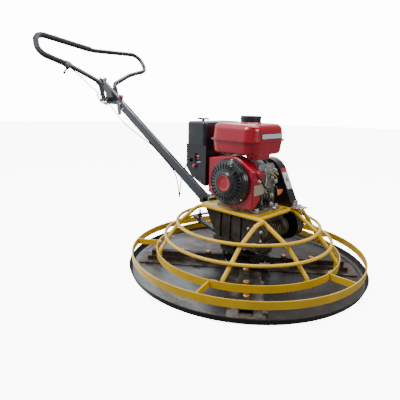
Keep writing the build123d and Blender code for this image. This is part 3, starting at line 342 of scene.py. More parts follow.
yellow = paint("yellow_enamel", (0.86, 0.53, 0.006), (0.16, 0.10, 0.05), coat=0.45, gloss=0.33, dust=0.12)
red = paint("red_enamel", (0.48, 0.004, 0.026), (0.18, 0.05, 0.04), coat=0.7, gloss=0.2, dust=0.05)
dark = paint("handle_enamel", (0.014, 0.022, 0.036), (0.10, 0.10, 0.10), coat=0.7, gloss=0.24, dust=0.18)
black = paint("black_enamel", (0.010, 0.0105, 0.012), (0.07, 0.065, 0.06), coat=0.5, gloss=0.3, dust=0.25)
gearbox_iron = cast_metal("gearbox_iron", (0.062, 0.054, 0.046), (0.022, 0.019, 0.016), 0.25, 0.0005, 0.5)
spider_iron = cast_metal("spider_iron", (0.040, 0.034, 0.030), (0.016, 0.013, 0.012), 0.35, 0.0006, 0.52)
engine_aluminium = cast_metal(
    "engine_aluminium", (0.36, 0.345, 0.325), (0.13, 0.115, 0.10), 0.75, 0.0003, 0.45)
shaft_steel = turned_metal("oiled_steel", (0.55, 0.54, 0.52), 0.2, (40, 1, 1), (0.25, 0.18, 0.1))
bright_zinc = turned_metal("bright_zinc", (0.72, 0.71, 0.69), 0.22, (1, 1, 8), (0.42, 0.36, 0.28))
ground_steel = turned_metal("ground_steel", (0.50, 0.50, 0.51), 0.28, (1, 1, 20))
bronze = turned_metal("bronze", (0.68, 0.42, 0.17), 0.25, (1, 1, 12), (0.3, 0.17, 0.07))
muffler_steel = cast_metal("muffler_black", (0.045, 0.040, 0.038), (0.10, 0.055, 0.03), 0.4, 0.0002, 0.55)
black_plastic = moulded("black_plastic", (0.011, 0.0125, 0.015), 0.38, 420, 0.00014, 0.25)
cleaner_plastic = moulded("cleaner_plastic", (0.012, 0.0150, 0.019), 0.34, 520, 0.00010, 0.45)
rubber = moulded("moulded_rubber", (0.012, 0.012, 0.012), 0.6, 300, 0.0002)
button_red = moulded("button_red", (0.50, 0.015, 0.022), 0.3, 500, 0.00006, 0.7)
filter_paper = moulded("filter_paper", (0.55, 0.48, 0.33), 0.8, 160, 0.0005)
saddle_grey = paint("saddle_grey", (0.19, 0.19, 0.195), (0.07, 0.07, 0.07), coat=0.2, gloss=0.4, dust=0.1)
cable_sheath = moulded("cable_sheath", (0.018, 0.015, 0.013), 0.42, 260, 0.0001, 0.2)

NODE_FINISH = {
    yellow: ["guard_frame", "guard_rod_rings", "guard_ring_middle", "guard_ring_outer", "guard_struts",
             "engine_plate"],
    red: ["fan_shroud", "fuel_tank"],
    dark: ["handle_tube", "handlebar"],
    black: ["belt_guard", "handle_bracket", "rocker_cover"],
    gearbox_iron: ["gearbox_housing", "gearbox_cover", "pitch_yoke"],
    spider_iron: ["spider", "pressure_plate", "driven_pulley", "clutch_drum", "flywheel"],
    engine_aluminium: ["crankcase", "cylinder", "carburettor"],
    shaft_steel: ["output_shaft", "worm_shaft", "crankshaft", "gearbox_bearings"],
    bright_zinc: ["frame_bolts", "safety_lever", "belt_guard_bracket"],
    bronze: ["worm_wheel"],
    muffler_steel: ["muffler"],
    black_plastic: ["air_cleaner_base", "fuel_cap", "starter_grip", "choke_lever", "throttle_lever",
                    "oil_cap", "spark_plug"],
    cleaner_plastic: ["air_cleaner_cover"],
    rubber: ["gearbox_seals", "v_belt"],
    button_red: ["estop_button"],
    filter_paper: ["air_filter"],
    saddle_grey: ["handle_fittings", "pitch_knob"],
    pan_finish(): ["float_pan"],
    blade_finish(): ["blade_1", "blade_2", "blade_3", "blade_4", "pan_clips"],
    arm_finish(): ["arm_1", "arm_2", "arm_3", "arm_4"],
    recoil_finish(): ["recoil_cover"],
    foam_finish(): ["grip_sleeve"],
}
for material, names in NODE_FINISH.items():
    for name in names:
        mesh = frame["nodes"][name].data
        mesh.materials.clear()
        mesh.materials.append(material)


# ---------------------------------------------------------------- making pieces
def keep(obj, body, material):
    """Give a new piece its material and let it move with its body."""
    obj.data.materials.clear()
    obj.data.materials.append(material)
    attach(obj, body)
    return obj


def from_bmesh(name, mesh_data, smooth=True):
    """Turn a bmesh into an object."""
    bmesh.ops.recalc_face_normals(mesh_data, faces=mesh_data.faces)
    mesh = bpy.data.meshes.new(name)
    mesh_data.to_mesh(mesh)
    mesh_data.free()
    for face in mesh.polygons:
        face.use_smooth = smooth
    obj = bpy.data.objects.new(name, mesh)
    bpy.context.scene.collection.objects.link(obj)
    return obj


def basis(normal, along=None):
    """Matrix whose Z is the normal and whose X is as near as can be to the given direction."""
    z = Vector(normal).normalized()
    x = Vector(along) if along else (Vector((0, 0, 1)) if abs(z.z) < 0.9 else Vector((1, 0, 0)))
    x = (x - z * x.dot(z)).normalized()
    return Matrix((x, z.cross(x), z)).transposed().to_4x4()


def lathe_into(mesh_data, profile, place, steps=40):
    """Add a turned shape: profile pairs are radius and height, place takes it to the world."""
    rings = []
    for radius, height in profile:
        ring = []
        for i in range(steps):
            turn = 2 * math.pi * i / steps
            point = Vector((radius * math.cos(turn), radius * math.sin(turn), height))
            ring.append(mesh_data.verts.new(place @ point))
        rings.append(ring)
    for lower, upper in zip(rings, rings[1:]):
        for i in range(steps):
            j = (i + 1) % steps
            mesh_data.faces.new((lower[i], lower[j], upper[j], upper[i]))
    mesh_data.faces.new(rings[0][::-1])
    mesh_data.faces.new(rings[-1])


def lathe(name, profile, at, normal, body, material, steps=48):
    mesh_data = bmesh.new()
    lathe_into(mesh_data, profile, Matrix.Translation(at) @ basis(normal), steps)
    return keep(from_bmesh(name, mesh_data), body, material)


def bolt_into(mesh_data, at, normal, width, height):
    """Flanged hexagon bolt head with a washer and a dished top."""
    place = Matrix.Translation(at) @ basis(normal)
    washer = [(width * 0.78, 0), (width * 0.80, height * 0.12), (width * 0.74, height * 0.2)]
    lathe_into(mesh_data, washer, place, 28)
    corner = width / math.sqrt(3)
    head = [(corner, height * 0.2), (corner, height * 0.85), (corner * 0.86, height),
            (corner * 0.5, height * 0.9)]
    lathe_into(mesh_data, head, place, 6)


def screw_into(mesh_data, at, normal, radius):
    """Domed pan-head screw on a thin washer."""
    shape = [(1.25, 0), (1.25, 0.18), (1, 0.2), (0.95, 0.5), (0.6, 0.78), (0.3, 0.74), (0.22, 0.55)]
    profile = [(radius * out, radius * up) for out, up in shape]
    lathe_into(mesh_data, profile, Matrix.Translation(at) @ basis(normal), 20)


def round_line(name, points, radius, order=4):
    """Round line along a smooth curve, as a curve object."""
    data = bpy.data.curves.new(name, "CURVE")
    data.dimensions = "3D"
    data.bevel_depth = radius
    data.bevel_resolution = 5
    data.resolution_u = 10
    data.use_fill_caps = True
    spline = data.splines.new("NURBS")
    spline.points.add(len(points) - 1)
    for point, place in zip(spline.points, points):
        point.co = (*place, 1)
    spline.order_u = order
    spline.use_endpoint_u = True
    obj = bpy.data.objects.new(name, data)
    bpy.context.scene.collection.objects.link(obj)
    return obj


def strand(name, points, radius, body, material, order=4):
    """Wire, hose or rod that moves with a body."""
    return keep(round_line(name, points, radius, order), body, material)


def coil(start, end, radius, turns, steps=12):
    """Points of a helical spring between two points, with straight hooks at its ends."""
    start, end = Vector(start), Vector(end)
    place = basis(end - start)
    length = (end - start).length
    points = [start]
    total = turns * steps
    for i in range(total + 1):
        turn = 2 * math.pi * i / steps
        height = length * (0.12 + 0.76 * i / total)
        points.append(start + place @ Vector((radius * math.cos(turn), radius * math.sin(turn), height)))
    points.append(end)
    return points


EDGE_BEVEL = 0.0006


def plate(name, corners, thickness, body, material, rounding=0.0):
    """Flat plate through corner points, thickened along its normal and with softened edges."""
    mesh_data = bmesh.new()
    corners = [Vector(c) for c in corners]
    mesh_data.faces.new([mesh_data.verts.new(c) for c in corners])
    if rounding:
        bmesh.ops.bevel(mesh_data, geom=list(mesh_data.verts), offset=rounding, segments=5, affect="VERTICES")
    normal = (corners[1] - corners[0]).cross(corners[2] - corners[1]).normalized()
    out = bmesh.ops.extrude_face_region(mesh_data, geom=list(mesh_data.faces))
    moved = [v for v in out["geom"] if isinstance(v, bmesh.types.BMVert)]
    bmesh.ops.translate(mesh_data, verts=moved, vec=normal * thickness)
    obj = from_bmesh(name, mesh_data, smooth=False)
    edge = obj.modifiers.new("edges", "BEVEL")
    edge.width = EDGE_BEVEL
    edge.segments = 2
    edge.limit_method = "ANGLE"
    return keep(obj, body, material)


# ---------------------------------------------------------------- throttle cable
# The route repeats the CAD tube's points: lever, beside the handle tube, hanging loop, engine.
CABLE_ROUTE_MM = [
    (-1001.15, -191.31, 794.72), (-977, -164, 768), (-953, -150, 741), (-930, -121, 707), (-918, -80, 671),
    (-905, -44, 633), (-874, -31, 598), (-835, -25, 560), (-796, -20, 530), (-752, -16, 506),
    (-708, -13.3, 488), (-655, -13, 464), (-600, -12.9, 446), (-540, -12.8, 410), (-480, -12.8, 372),
    (-436, -12.8, 343), (-412, -12.6, 318), (-397, -12, 281), (-389, -12, 246), (-386, -12, 213),
    (-409, 13, 213), (-407, 14, 250), (-404, 15, 289), (-391, 15.5, 323), (-375, 16, 355),
    (-352, 6, 382), (-318, -18, 400), (-276, -50, 408), (-232.2, -84, 410),
]
CABLE_RADIUS = 0.0025


def evaluated_mesh(obj):
    """A mesh of what a curve object shows."""
    bpy.context.view_layer.update()
    return bpy.data.meshes.new_from_object(obj.evaluated_get(bpy.context.evaluated_depsgraph_get()))


def throttle_cable():
    """The sheathed cable along its route, in place of the hidden CAD tube."""
    route = [Vector(p) * MM for p in CABLE_ROUTE_MM]
    line = round_line("cable_line", route, 0, order=3)
    centres = [v.co.copy() for v in evaluated_mesh(line).vertices]
    line.data.bevel_depth = CABLE_RADIUS
    cable = bpy.data.objects.new("throttle_cable_sheath", evaluated_mesh(line))
    bpy.data.objects.remove(line)
    bpy.context.scene.collection.objects.link(cable)
    cable.data.materials.append(cable_sheath)
    for face in cable.data.polygons:
        face.use_smooth = True
    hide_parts("throttle_cable")
    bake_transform(cable)


throttle_cable()


# ---------------------------------------------------------------- starter cover dressing
low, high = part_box("recoil_cover")
CRANK = Vector(((low.x + high.x) / 2, 0, (low.z + high.z) / 2))
STARTER_FACE = low.y


RIDGE_SECTION = ((-0.0016, -0.0022), (-0.0011, 0.0006), (0, 0.0014), (0.0011, 0.0006), (0.0016, -0.0022))
BADGE_PROFILE = [(0.0295, 0), (0.0300, 0.0010), (0.0290, 0.0022), (0.0272, 0.0022), (0.0266, 0.0015),
                 (0.0120, 0.0019), (0.0008, 0.0020)]


def starter_dressing():
    """Spun ridges, the blank centre badge and the cover's three screws."""
    mesh_data = bmesh.new()
    place = Matrix.Translation((CRANK.x, 0, CRANK.z)) @ basis((0, -1, 0))
    for radius, depth in ((0.0380, 0.1432), (0.0700, 0.1342), (0.0775, 0.1300), (0.0845, 0.1210)):
        ring = [(radius + out, depth + up) for out, up in RIDGE_SECTION]
        ridge_into(mesh_data, ring, place)
    keep(from_bmesh("starter_ridges", mesh_data), CHASSIS, recoil_gloss)
    badge_at = Vector((CRANK.x, STARTER_FACE, CRANK.z))
    lathe("starter_badge", BADGE_PROFILE, badge_at, (0, -1, 0), CHASSIS, badge_red, 64)
    screws = bmesh.new()
    for turn in (80, 200, 320):
        edge = Vector((math.cos(math.radians(turn)), 0, math.sin(math.radians(turn)))) * 0.0835
        screw_into(screws, Vector((CRANK.x, -0.1225, CRANK.z)) + edge, (0, -1, 0), 0.0042)
    keep(from_bmesh("starter_screws", screws), CHASSIS, bright_zinc)


def ridge_into(mesh_data, section, place, steps=96):
    """Closed ring with the given radius-and-height section."""
    rings = []
    for radius, height in section:
        points = []
        for i in range(steps):
            turn = 2 * math.pi * i / steps
            point = Vector((radius * math.cos(turn), radius * math.sin(turn), height))
            points.append(mesh_data.verts.new(place @ point))
        rings.append(points)
    rings.append(rings[0])
    for lower, upper in zip(rings, rings[1:]):
        for i in range(steps):
            j = (i + 1) % steps
            mesh_data.faces.new((lower[i], lower[j], upper[j], upper[i]))


recoil_gloss = moulded("starter_ridge_gloss", (0.016, 0.018, 0.022), 0.28, 500, 0.00005, 0.6)
badge_red = sticker("badge_film", (0.42, 0.02, 0.03))
starter_dressing()


# ---------------------------------------------------------------- labels and plates
def film_on_tank():
    """Blank metal-look strip on the tank's end face."""
    face_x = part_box("fuel_tank")[1].x - 0.0075
    corners = [(face_x, -0.078, 0.5135), (face_x, 0.052, 0.5135), (face_x - 0.0018, 0.052, 0.5365),
               (face_x - 0.0018, -0.078, 0.5365)]
    dark_film = sticker("label_dark", (0.03, 0.032, 0.045))
    plate("tank_label_border", corners, 0.0012, CHASSIS, dark_film, rounding=0.002)
    inner = [(x + 0.0006, y * 0.955 - 0.0004, 0.525 + (z - 0.525) * 0.72) for x, y, z in corners]
    silver_film = sticker("label_silver", (0.62, 0.62, 0.66))
    plate("tank_label_face", inner, 0.0012, CHASSIS, silver_film, rounding=0.0012)


def data_plate():
    """Blank riveted plate on the shroud's side."""
    face_x = 0.0973
    outline = ((-0.103, 0.318), (-0.043, 0.318), (-0.043, 0.356), (-0.103, 0.356))
    corners = [(face_x, y, z) for y, z in outline]
    plate("data_plate", corners, 0.0009, CHASSIS, sticker("plate_beige", (0.42, 0.37, 0.27)), rounding=0.002)
    rivets = bmesh.new()
    for y in (-0.1, -0.046):
        for z in (0.321, 0.353):
            screw_into(rivets, (face_x + 0.0009, y, z), (1, 0, 0), 0.0016)
    keep(from_bmesh("data_plate_rivets", rivets), CHASSIS, bright_zinc)


def guard_label():
    """Blank two-colour sticker on the belt guard's sloping edge."""
    top = Vector((0.0580, 0, 0.3921))
    bottom = Vector((0.1519, 0, 0.2021))
    slope = (bottom - top).normalized()
    lift = Vector((-slope.z, 0, slope.x)).normalized() * 0.0008
    first = top + slope * 0.001 + lift
    last = top + slope * 0.089 + lift
    corners = [Vector((last.x, 0.1195, last.z)), Vector((last.x, 0.1590, last.z)),
               Vector((first.x, 0.1590, first.z)), Vector((first.x, 0.1195, first.z))]
    film = sticker("guard_label_film", (0.70, 0.70, 0.70), (0.60, 0.02, 0.03), "Z", first.z - 0.016)
    plate("guard_label", corners, 0.0006, CHASSIS, film, rounding=0.002)
    middle = first.lerp(last, 0.5) + lift * 1.2
    size = 0.013
    half = Vector((0, size, 0)) * 0.9
    mark = [middle + slope * size - half, middle + slope * size + half, middle - slope * size]
    mark = [Vector((p.x, p.y + 0.139, p.z)) for p in mark]
    grey_film = sticker("label_grey", (0.25, 0.25, 0.27))
    plate("guard_label_patch", mark, 0.0004, CHASSIS, grey_film, rounding=0.003)


film_on_tank()
data_plate()
guard_label()


def orange_tag():
    """Curled paper tag hanging on a wire by the belt guard."""
    mesh_data = bmesh.new()
    across, down = 7, 5
    grid = []
    for i in range(across):
        row = []
        for j in range(down):
            u, v = i / (across - 1), j / (down - 1)
            curl = 0.005 * math.sin(2.6 * u + 1.3 * v)
            height = 0.325 - 0.024 * v - 0.004 * u + 0.006 * u * v
            row.append(mesh_data.verts.new((0.1005 + curl, 0.040 + 0.040 * u, height)))
        grid.append(row)
    for i in range(across - 1):
        for j in range(down - 1):
            mesh_data.faces.new((grid[i][j], grid[i + 1][j], grid[i + 1][j + 1], grid[i][j + 1]))
    obj = from_bmesh("orange_tag", mesh_data)
    solid = obj.modifiers.new("paper", "SOLIDIFY")
    solid.thickness = 0.0008
    soft = obj.modifiers.new("soft", "SUBSURF")
    soft.levels = soft.render_levels = 2
    keep(obj, CHASSIS, sticker("tag_orange", (0.85, 0.22, 0.02)))
    wire = [(0.100, 0.046, 0.322), (0.100, 0.040, 0.334), (0.094, 0.034, 0.343), (0.088, 0.030, 0.340)]
    strand("orange_tag_wire", wire, 0.0008, CHASSIS, bright_zinc)


orange_tag()


# ---------------------------------------------------------------- engine side dressing
SIDE_BOLTS = (  # place, normal, width
    ((0.090, -0.020, 0.400), (1, 0, 0.2), 0.012), ((0.094, 0.012, 0.372), (1, 0, 0), 0.010),
    ((0.088, 0.040, 0.395), (1, 0, 0.3), 0.011), ((0.080, 0.058, 0.350), (1, 0, 0), 0.012),
    ((0.086, -0.018, 0.330), (1, 0, 0), 0.010), ((0.084, 0.030, 0.300), (1, 0, 0), 0.013),
    ((0.092, -0.040, 0.285), (1, 0, 0), 0.012), ((0.092, 0.020, 0.268), (1, 0, 0), 0.013),
)


def governor_side():
    """Linkage, springs, hoses and wires between the shroud and the belt guard."""
    brackets = bmesh.new()
    for at, normal, width in SIDE_BOLTS:
        bolt_into(brackets, Vector(at), normal, width, width * 0.6)
    keep(from_bmesh("engine_side_bolts", brackets), CHASSIS, bright_zinc)
    plates = (
        ("governor_plate", 0.0022, bright_zinc, 0.006,
         [(0.078, -0.050, 0.385), (0.078, 0.056, 0.385), (0.070, 0.050, 0.422), (0.070, -0.046, 0.422)]),
        ("governor_lever", 0.0022, ground_steel, 0.003,
         [(0.084, -0.004, 0.345), (0.084, 0.010, 0.345), (0.090, 0.020, 0.412), (0.090, 0.010, 0.412)]),
        ("control_arm", 0.002, bright_zinc, 0.003,
         [(0.092, -0.036, 0.386), (0.092, 0.030, 0.398), (0.092, 0.030, 0.407), (0.092, -0.036, 0.395)]),
    )
    for name, thickness, material, rounding, corners in plates:
        plate(name, corners, thickness, CHASSIS, material, rounding=rounding)
    lines = (
        ("governor_spring", 0.0007, ground_steel,
         coil((0.096, 0.012, 0.404), (0.096, -0.032, 0.372), 0.0032, 11)),
        ("throttle_spring", 0.0008, ground_steel,
         coil((0.094, 0.020, 0.402), (0.094, 0.054, 0.376), 0.0036, 9)),
        ("governor_rod", 0.0013, ground_steel,
         [(0.090, 0.014, 0.410), (0.084, -0.010, 0.418), (0.040, -0.046, 0.424), (-0.040, -0.056, 0.420)]),
        ("wire_yellow", 0.0019, moulded("wire_yellow", (0.62, 0.38, 0.03), 0.4),
         [(0.092, -0.014, 0.396), (0.100, 0.006, 0.390), (0.101, 0.028, 0.379), (0.094, 0.046, 0.362)]),
        ("wire_white", 0.0018, moulded("wire_white", (0.58, 0.55, 0.48), 0.4),
         [(0.092, -0.024, 0.382), (0.101, -0.030, 0.366), (0.100, -0.042, 0.352),
          (0.096, -0.040, 0.330), (0.094, -0.018, 0.318)]),
        ("wire_green", 0.0014, moulded("wire_green", (0.05, 0.22, 0.08), 0.4),
         [(0.094, -0.060, 0.408), (0.102, -0.040, 0.414), (0.099, -0.010, 0.405), (0.092, 0.020, 0.384)]),
        ("wire_black", 0.0024, rubber,
         [(0.094, -0.066, 0.380), (0.104, -0.058, 0.360), (0.103, -0.044, 0.342),
          (0.096, -0.020, 0.332), (0.086, 0.010, 0.328)]),
        ("fuel_hose", 0.0042, rubber,
         [(0.050, 0.000, 0.440), (0.062, 0.016, 0.424), (0.060, 0.040, 0.404),
          (0.020, 0.064, 0.400), (-0.060, 0.060, 0.420)]),
    )
    for name, radius, material, points in lines:
        strand(name, points, radius, CHASSIS, material)


def shroud_dressing():
    """Round red cap with its collar, the fuel tap and the wing on the fan shroud's side."""
    cap_at = Vector((0.0955, -0.0750, 0.3935))
    lathe("shroud_cap", [(0.0150, 0), (0.0152, 0.0040), (0.0138, 0.0070), (0.0090, 0.0092), (0.0010, 0.0098)],
          cap_at, (1, 0, 0.12), CHASSIS, red)
    collar = [(0.0165, -0.0010), (0.0168, 0.0012), (0.0156, 0.0020)]
    lathe("shroud_cap_collar", collar, cap_at, (1, 0, 0.12), CHASSIS, black_plastic)
    lathe("fuel_tap", [(0.0072, 0), (0.0074, 0.0050), (0.0052, 0.0060), (0.0052, 0.0105), (0.0030, 0.0120)],
          (0.0965, -0.0800, 0.3700), (1, 0, -0.2), CHASSIS, bright_zinc)
    outline = ((-0.062, 0.404), (-0.043, 0.404), (-0.043, 0.367), (-0.047, 0.342), (-0.058, 0.318),
               (-0.062, 0.318))
    corners = [(0.0945, y, z) for y, z in outline]
    plate("shroud_side_wing", corners, 0.0018, CHASSIS, red)


LINER_AT = Vector((-0.006, -0.019, 0))
LINER_REACH = (0.060, 0.058)  # from the tank's middle to the centres of its corner arcs
CORNER_RADIUS = 0.046
LINER_STEPS = (  # height, inset from the seam's outline
    (0.464, 0.0085), (0.470, 0.0060), (0.485, 0.0041), (0.5085, 0.0012), (0.5095, 0.0012),
    (0.525, 0.0026), (0.543, 0.0042), (0.549, 0.0055), (0.554, 0.0078), (0.557, 0.0095),
)


def tank_liner():
    """Closed body just inside the tank's outer wall: it fills the slots in the CAD tank's corners."""
    mesh_data = bmesh.new()
    rings = []
    for z, inset in LINER_STEPS:
        ring = []
        radius = CORNER_RADIUS - inset
        for corner in range(4):
            side_x = 1 if corner in (0, 3) else -1
            side_y = 1 if corner in (0, 1) else -1
            for i in range(13):
                turn = math.radians(90 * corner + 90 * i / 12)
                x = side_x * LINER_REACH[0] + radius * math.cos(turn)
                y = side_y * LINER_REACH[1] + radius * math.sin(turn)
                ring.append(mesh_data.verts.new(LINER_AT + Vector((x, y, z))))
        rings.append(ring)
    for lower, upper in zip(rings, rings[1:]):
        for i in range(len(lower)):
            j = (i + 1) % len(lower)
            mesh_data.faces.new((lower[i], lower[j], upper[j], upper[i]))
    mesh_data.faces.new(rings[0][::-1])
    mesh_data.faces.new(rings[-1])
    keep(from_bmesh("tank_liner", mesh_data), CHASSIS, red)


def cleaner_levers():
    """Small levers and their bolts on the air cleaner's base."""
    face_y = -0.1200
    for name, x, z, length, material in (("lever_upper", -0.185, 0.434, 0.026, bright_zinc),
                                         ("lever_red", -0.179, 0.424, 0.018, button_red),
                                         ("lever_lower", -0.172, 0.412, 0.022, bright_zinc)):
        tip = x + length
        corners = [(x, face_y, z - 0.0025), (tip, face_y, z - 0.0005), (tip, face_y, z + 0.0035),
                   (x, face_y, z + 0.0015)]
        plate(name, corners, -0.003, CHASSIS, material)
    lathe("lever_knob", [(0.0062, 0), (0.0072, 0.0030), (0.0068, 0.0075), (0.0030, 0.0090)],
          (-0.181, face_y, 0.395), (0, -1, 0), CHASSIS, button_red, 32)


def crankcase_dressing():
    """Side cover with its ring of bolts, drain plug and cast ribs on the engine's +X side."""
    ribs = bmesh.new()
    for y in (-0.045, -0.028, -0.011, 0.006, 0.023, 0.040):
        outline = ((0.062, 0.262), (0.088, 0.262), (0.078, 0.318), (0.066, 0.330))
        rib = [Vector((x, y, z)) for x, z in outline]
        face = ribs.faces.new([ribs.verts.new(p) for p in rib])
        out = bmesh.ops.extrude_face_region(ribs, geom=[face])
        moved = [v for v in out["geom"] if isinstance(v, bmesh.types.BMVert)]
        bmesh.ops.translate(ribs, verts=moved, vec=(0, 0.0034, 0))
    obj = from_bmesh("crankcase_ribs", ribs, smooth=False)
    soft = obj.modifiers.new("edges", "BEVEL")
    soft.width = 0.0008
    soft.segments = 2
    keep(obj, CHASSIS, engine_aluminium)
    bolts = bmesh.new()
    for turn in range(0, 360, 45):
        edge = Vector((math.cos(math.radians(turn)), 0, math.sin(math.radians(turn)))) * 0.0640
        bolt_into(bolts, Vector((CRANK.x, 0.0722, CRANK.z)) + edge, (0, 1, 0), 0.010, 0.006)
    keep(from_bmesh("crankcase_cover_bolts", bolts), CHASSIS, bright_zinc)
    lathe("drain_plug", [(0.0090, 0), (0.0090, 0.0020), (0.0066, 0.0022), (0.0066, 0.0080), (0.0056, 0.0092)],
          (0.0980, 0.0300, 0.2515), (1, 0, 0), CHASSIS, bright_zinc, 6)


governor_side()
shroud_dressing()
tank_liner()
cleaner_levers()
crankcase_dressing()


# ---------------------------------------------------------------- gearbox dressing
def gearbox_ribs():
    """Cast cooling ribs round the worm tunnel, lighter and more metallic than the housing as a painted
    highlight along their crests.
    """
    low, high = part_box("worm_shaft")
    centre = Vector(((low.x + high.x) / 2, 0, (low.z + high.z) / 2))
    ribs = bmesh.new()
    inner, outer, half = 0.0365, 0.0440, 0.0022
    steps = 14
    for count in range(12):
        y = -0.074 + 0.0115 * count
        rings = []
        for i in range(steps + 1):
            turn = math.radians(-5 + 80 * i / steps)
            ends = math.sin(math.pi * i / steps) ** 0.35
            top = inner + (outer - inner) * max(0.05, ends)
            direction = Vector((math.cos(turn), 0, math.sin(turn)))
            rings.append([ribs.verts.new(centre + direction * r + Vector((0, y + s, 0)))
                          for r, s in ((inner, -half), (top, -half * 0.7), (top, half * 0.7), (inner, half))])
        for first, second in zip(rings, rings[1:]):
            for k in range(4):
                m = (k + 1) % 4
                ribs.faces.new((first[k], second[k], second[m], first[m]))
        ribs.faces.new(rings[0])
        ribs.faces.new(rings[-1][::-1])
    obj = from_bmesh("gearbox_ribs", ribs, smooth=False)
    soft = obj.modifiers.new("edges", "BEVEL")
    soft.width = 0.0007
    soft.segments = 2
    # The ribs' lighter, more metallic colour is a painted highlight.
    keep(obj, CHASSIS, cast_metal("ribs_painted_highlight", (0.30, 0.27, 0.22), (0.07, 0.06, 0.05), 0.8, 0.0003, 0.38))
    bolts = bmesh.new()
    for turn in range(30, 390, 60):
        edge = Vector((math.cos(math.radians(turn)), 0, math.sin(math.radians(turn)))) * 0.0330
        bolt_into(bolts, centre + edge + Vector((0, -0.0881, 0)), (0, -1, 0), 0.008, 0.005)
    keep(from_bmesh("worm_cap_bolts", bolts), CHASSIS, bright_zinc)


gearbox_ribs()


# ---------------------------------------------------------------- welds on the yellow frame
def weld_bead(mesh_data, centre, direction, length, size):
    """Row of overlapping weld ripples along a short line."""
    direction = Vector(direction).normalized()
    count = max(3, int(length / (size * 0.55)))
    for i in range(count):
        at = Vector(centre) + direction * length * (i / (count - 1) - 0.5)
        wobble = 1 + 0.12 * math.sin(2.3 * i)
        made = bmesh.ops.create_icosphere(mesh_data, subdivisions=2, radius=size * wobble)
        turn = basis(direction)
        for vert in made["verts"]:
            squashed = Vector((vert.co.x, vert.co.y, vert.co.z * 0.55))
            vert.co = at + turn @ squashed


LEGS = [  # direction from the rotor's axis, in degrees, at the upper rod, lower rod and middle ring
    (-23.0, -19.7, -17.55), (-57.5, -62.0, -65.0), (-138.0, -128.5, -122.5),
    (23.0, 19.7, 17.55), (57.5, 62.0, 65.0), (138.0, 128.5, 122.5),
]
RING_STATIONS = [(0.2715, 0.1790), (0.3165, 0.1275), (0.3545, 0.0640)]


def frame_welds():
    """Weld beads where each leg meets the rod rings and the middle ring."""
    beads = bmesh.new()
    for leg in LEGS:
        for angle, (reach, height) in zip(leg, RING_STATIONS):
            turn = math.radians(angle)
            outward = Vector((math.cos(turn), math.sin(turn), 0))
            sideways = Vector((-outward.y, outward.x, 0))
            for side in (-1, 1):
                at = outward * reach + sideways * 0.0065 * side + Vector((0, 0, height))
                upright = (0, 0, 1) if height < 0.1 else (outward.x, outward.y, -0.9)
                weld_bead(beads, at, upright, 0.012 if height > 0.1 else 0.018, 0.0019)
    keep(from_bmesh("frame_welds", beads), CHASSIS, yellow)


frame_welds()


# ---------------------------------------------------------------- handle dressing
ALONG = axis_of("pitch_knob_turn")
ABOVE = Vector((ALONG.z, 0, -ALONG.x))
KNOB = place_of("pitch_knob_turn")


def on_tube(back, above, y):
    """Point measured back down the tube from its knob, above its axis and across."""
    return KNOB - ALONG * back + ABOVE * above + Vector((0, y, 0))


def handle_dressing():
    """Stop-switch wire and side bolts on the tube."""
    wire = moulded("stop_wire", (0.02, 0.02, 0.022), 0.4)
    backs = (0.225, 0.24, 0.26, 0.34, 0.44, 0.56, 0.68, 0.80, 0.90, 0.935)
    points = []
    for i, back in enumerate(backs):
        lift = 0.0230 if i % 2 else 0.0215
        points.append(on_tube(back, lift, 0.004 * math.sin(i * 1.1)))
    strand("stop_switch_wire", points, 0.0016, "handle", wire)
    bolts = bmesh.new()
    for back, above in ((0.236, -0.010), (0.205, 0.004)):
        bolt_into(bolts, on_tube(back, above, -0.0100), (0, -1, 0), 0.010, 0.006)
    keep(from_bmesh("handle_side_bolts", bolts), "handle", bright_zinc)


handle_dressing()


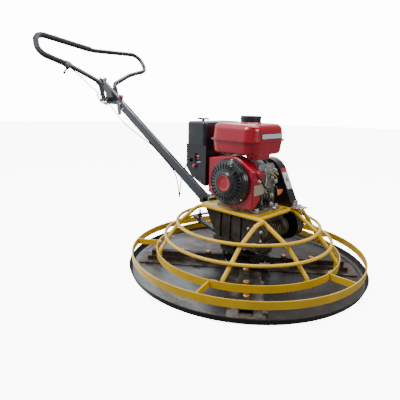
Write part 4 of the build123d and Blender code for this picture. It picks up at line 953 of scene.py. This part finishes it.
# ---------------------------------------------------------------- studio
def studio():
    """Pale floor and a white dome that only the camera sees."""
    floor_mesh = bmesh.new()
    bmesh.ops.create_grid(floor_mesh, x_segments=2, y_segments=2, size=14)
    floor = from_bmesh("floor", floor_mesh, smooth=False)
    floor.location.z = -0.0004
    shade = Recipe("floor_white")
    shade.shader.inputs["Emission Color"].default_value = (1, 1, 1, 1)
    shade.shader.inputs["Emission Strength"].default_value = 9.0
    tone = shade.mix(shade.between(shade.noise(3, 2), 0.3, 0.7), (0.80, 0.80, 0.80), (0.82, 0.82, 0.82))
    floor.data.materials.append(shade.finish(tone, 0.9))
    floor.visible_diffuse = False
    floor.visible_glossy = False

    dome_mesh = bmesh.new()
    bmesh.ops.create_icosphere(dome_mesh, subdivisions=4, radius=13)
    dome = from_bmesh("backdrop", dome_mesh)
    glow = bpy.data.materials.new("backdrop_white")
    glow.use_nodes = True
    glow.node_tree.nodes.clear()
    emission = glow.node_tree.nodes.new("ShaderNodeEmission")
    emission.inputs["Strength"].default_value = 14.0
    output = glow.node_tree.nodes.new("ShaderNodeOutputMaterial")
    glow.node_tree.links.new(emission.outputs[0], output.inputs["Surface"])
    dome.data.materials.append(glow)
    dome.visible_diffuse = False
    dome.visible_glossy = False
    dome.visible_shadow = False
    dome.visible_transmission = False


def soft_light(name, at, aim, size, power, colour=(1, 1, 1)):
    data = bpy.data.lights.new(name, "AREA")
    data.shape = "RECTANGLE"
    data.size, data.size_y = size
    data.energy = power
    data.color = colour
    obj = bpy.data.objects.new(name, data)
    obj.matrix_world = Matrix.Translation(at) @ basis(Vector(at) - Vector(aim))
    bpy.context.scene.collection.objects.link(obj)


def room_light():
    """Dim room, brighter towards the back left, which the pan's steel picks up."""
    world = bpy.data.worlds.new("room")
    bpy.context.scene.world = world
    world.use_nodes = True
    nodes, links = world.node_tree.nodes, world.node_tree.links
    place = nodes.new("ShaderNodeTexCoord").outputs["Generated"]
    dot = nodes.new("ShaderNodeVectorMath")
    dot.operation = "DOT_PRODUCT"
    dot.inputs[1].default_value = Vector((-0.93, 0.10, 0.35)).normalized()
    links.new(place, dot.inputs[0])
    spread = nodes.new("ShaderNodeMapRange")
    spread.interpolation_type = "SMOOTHSTEP"
    spread.inputs["From Min"].default_value = 0.1
    spread.inputs["From Max"].default_value = 0.98
    spread.inputs["To Min"].default_value = 0.22
    spread.inputs["To Max"].default_value = 1.5
    links.new(dot.outputs["Value"], spread.inputs["Value"])
    background = nodes["Background"]
    background.inputs["Color"].default_value = (0.93, 0.96, 1.0, 1)
    links.new(spread.outputs["Result"], background.inputs["Strength"])


studio()
room_light()
soft_light("key", (-0.9, -1.9, 2.5), (-0.1, 0, 0.3), (1.6, 1.2), 66)
soft_light("overhead", (0.1, 0.5, 2.6), (0, 0, 0.3), (1.8, 1.8), 46)
soft_light("side", (2.6, 0.2, 1.5), (0, 0, 0.3), (1.0, 1.4), 30, (1.0, 0.95, 0.9))
soft_light("tube_glint", (-1.4, 1.6, 2.2), (-0.6, 0, 0.5), (1.4, 0.8), 22)
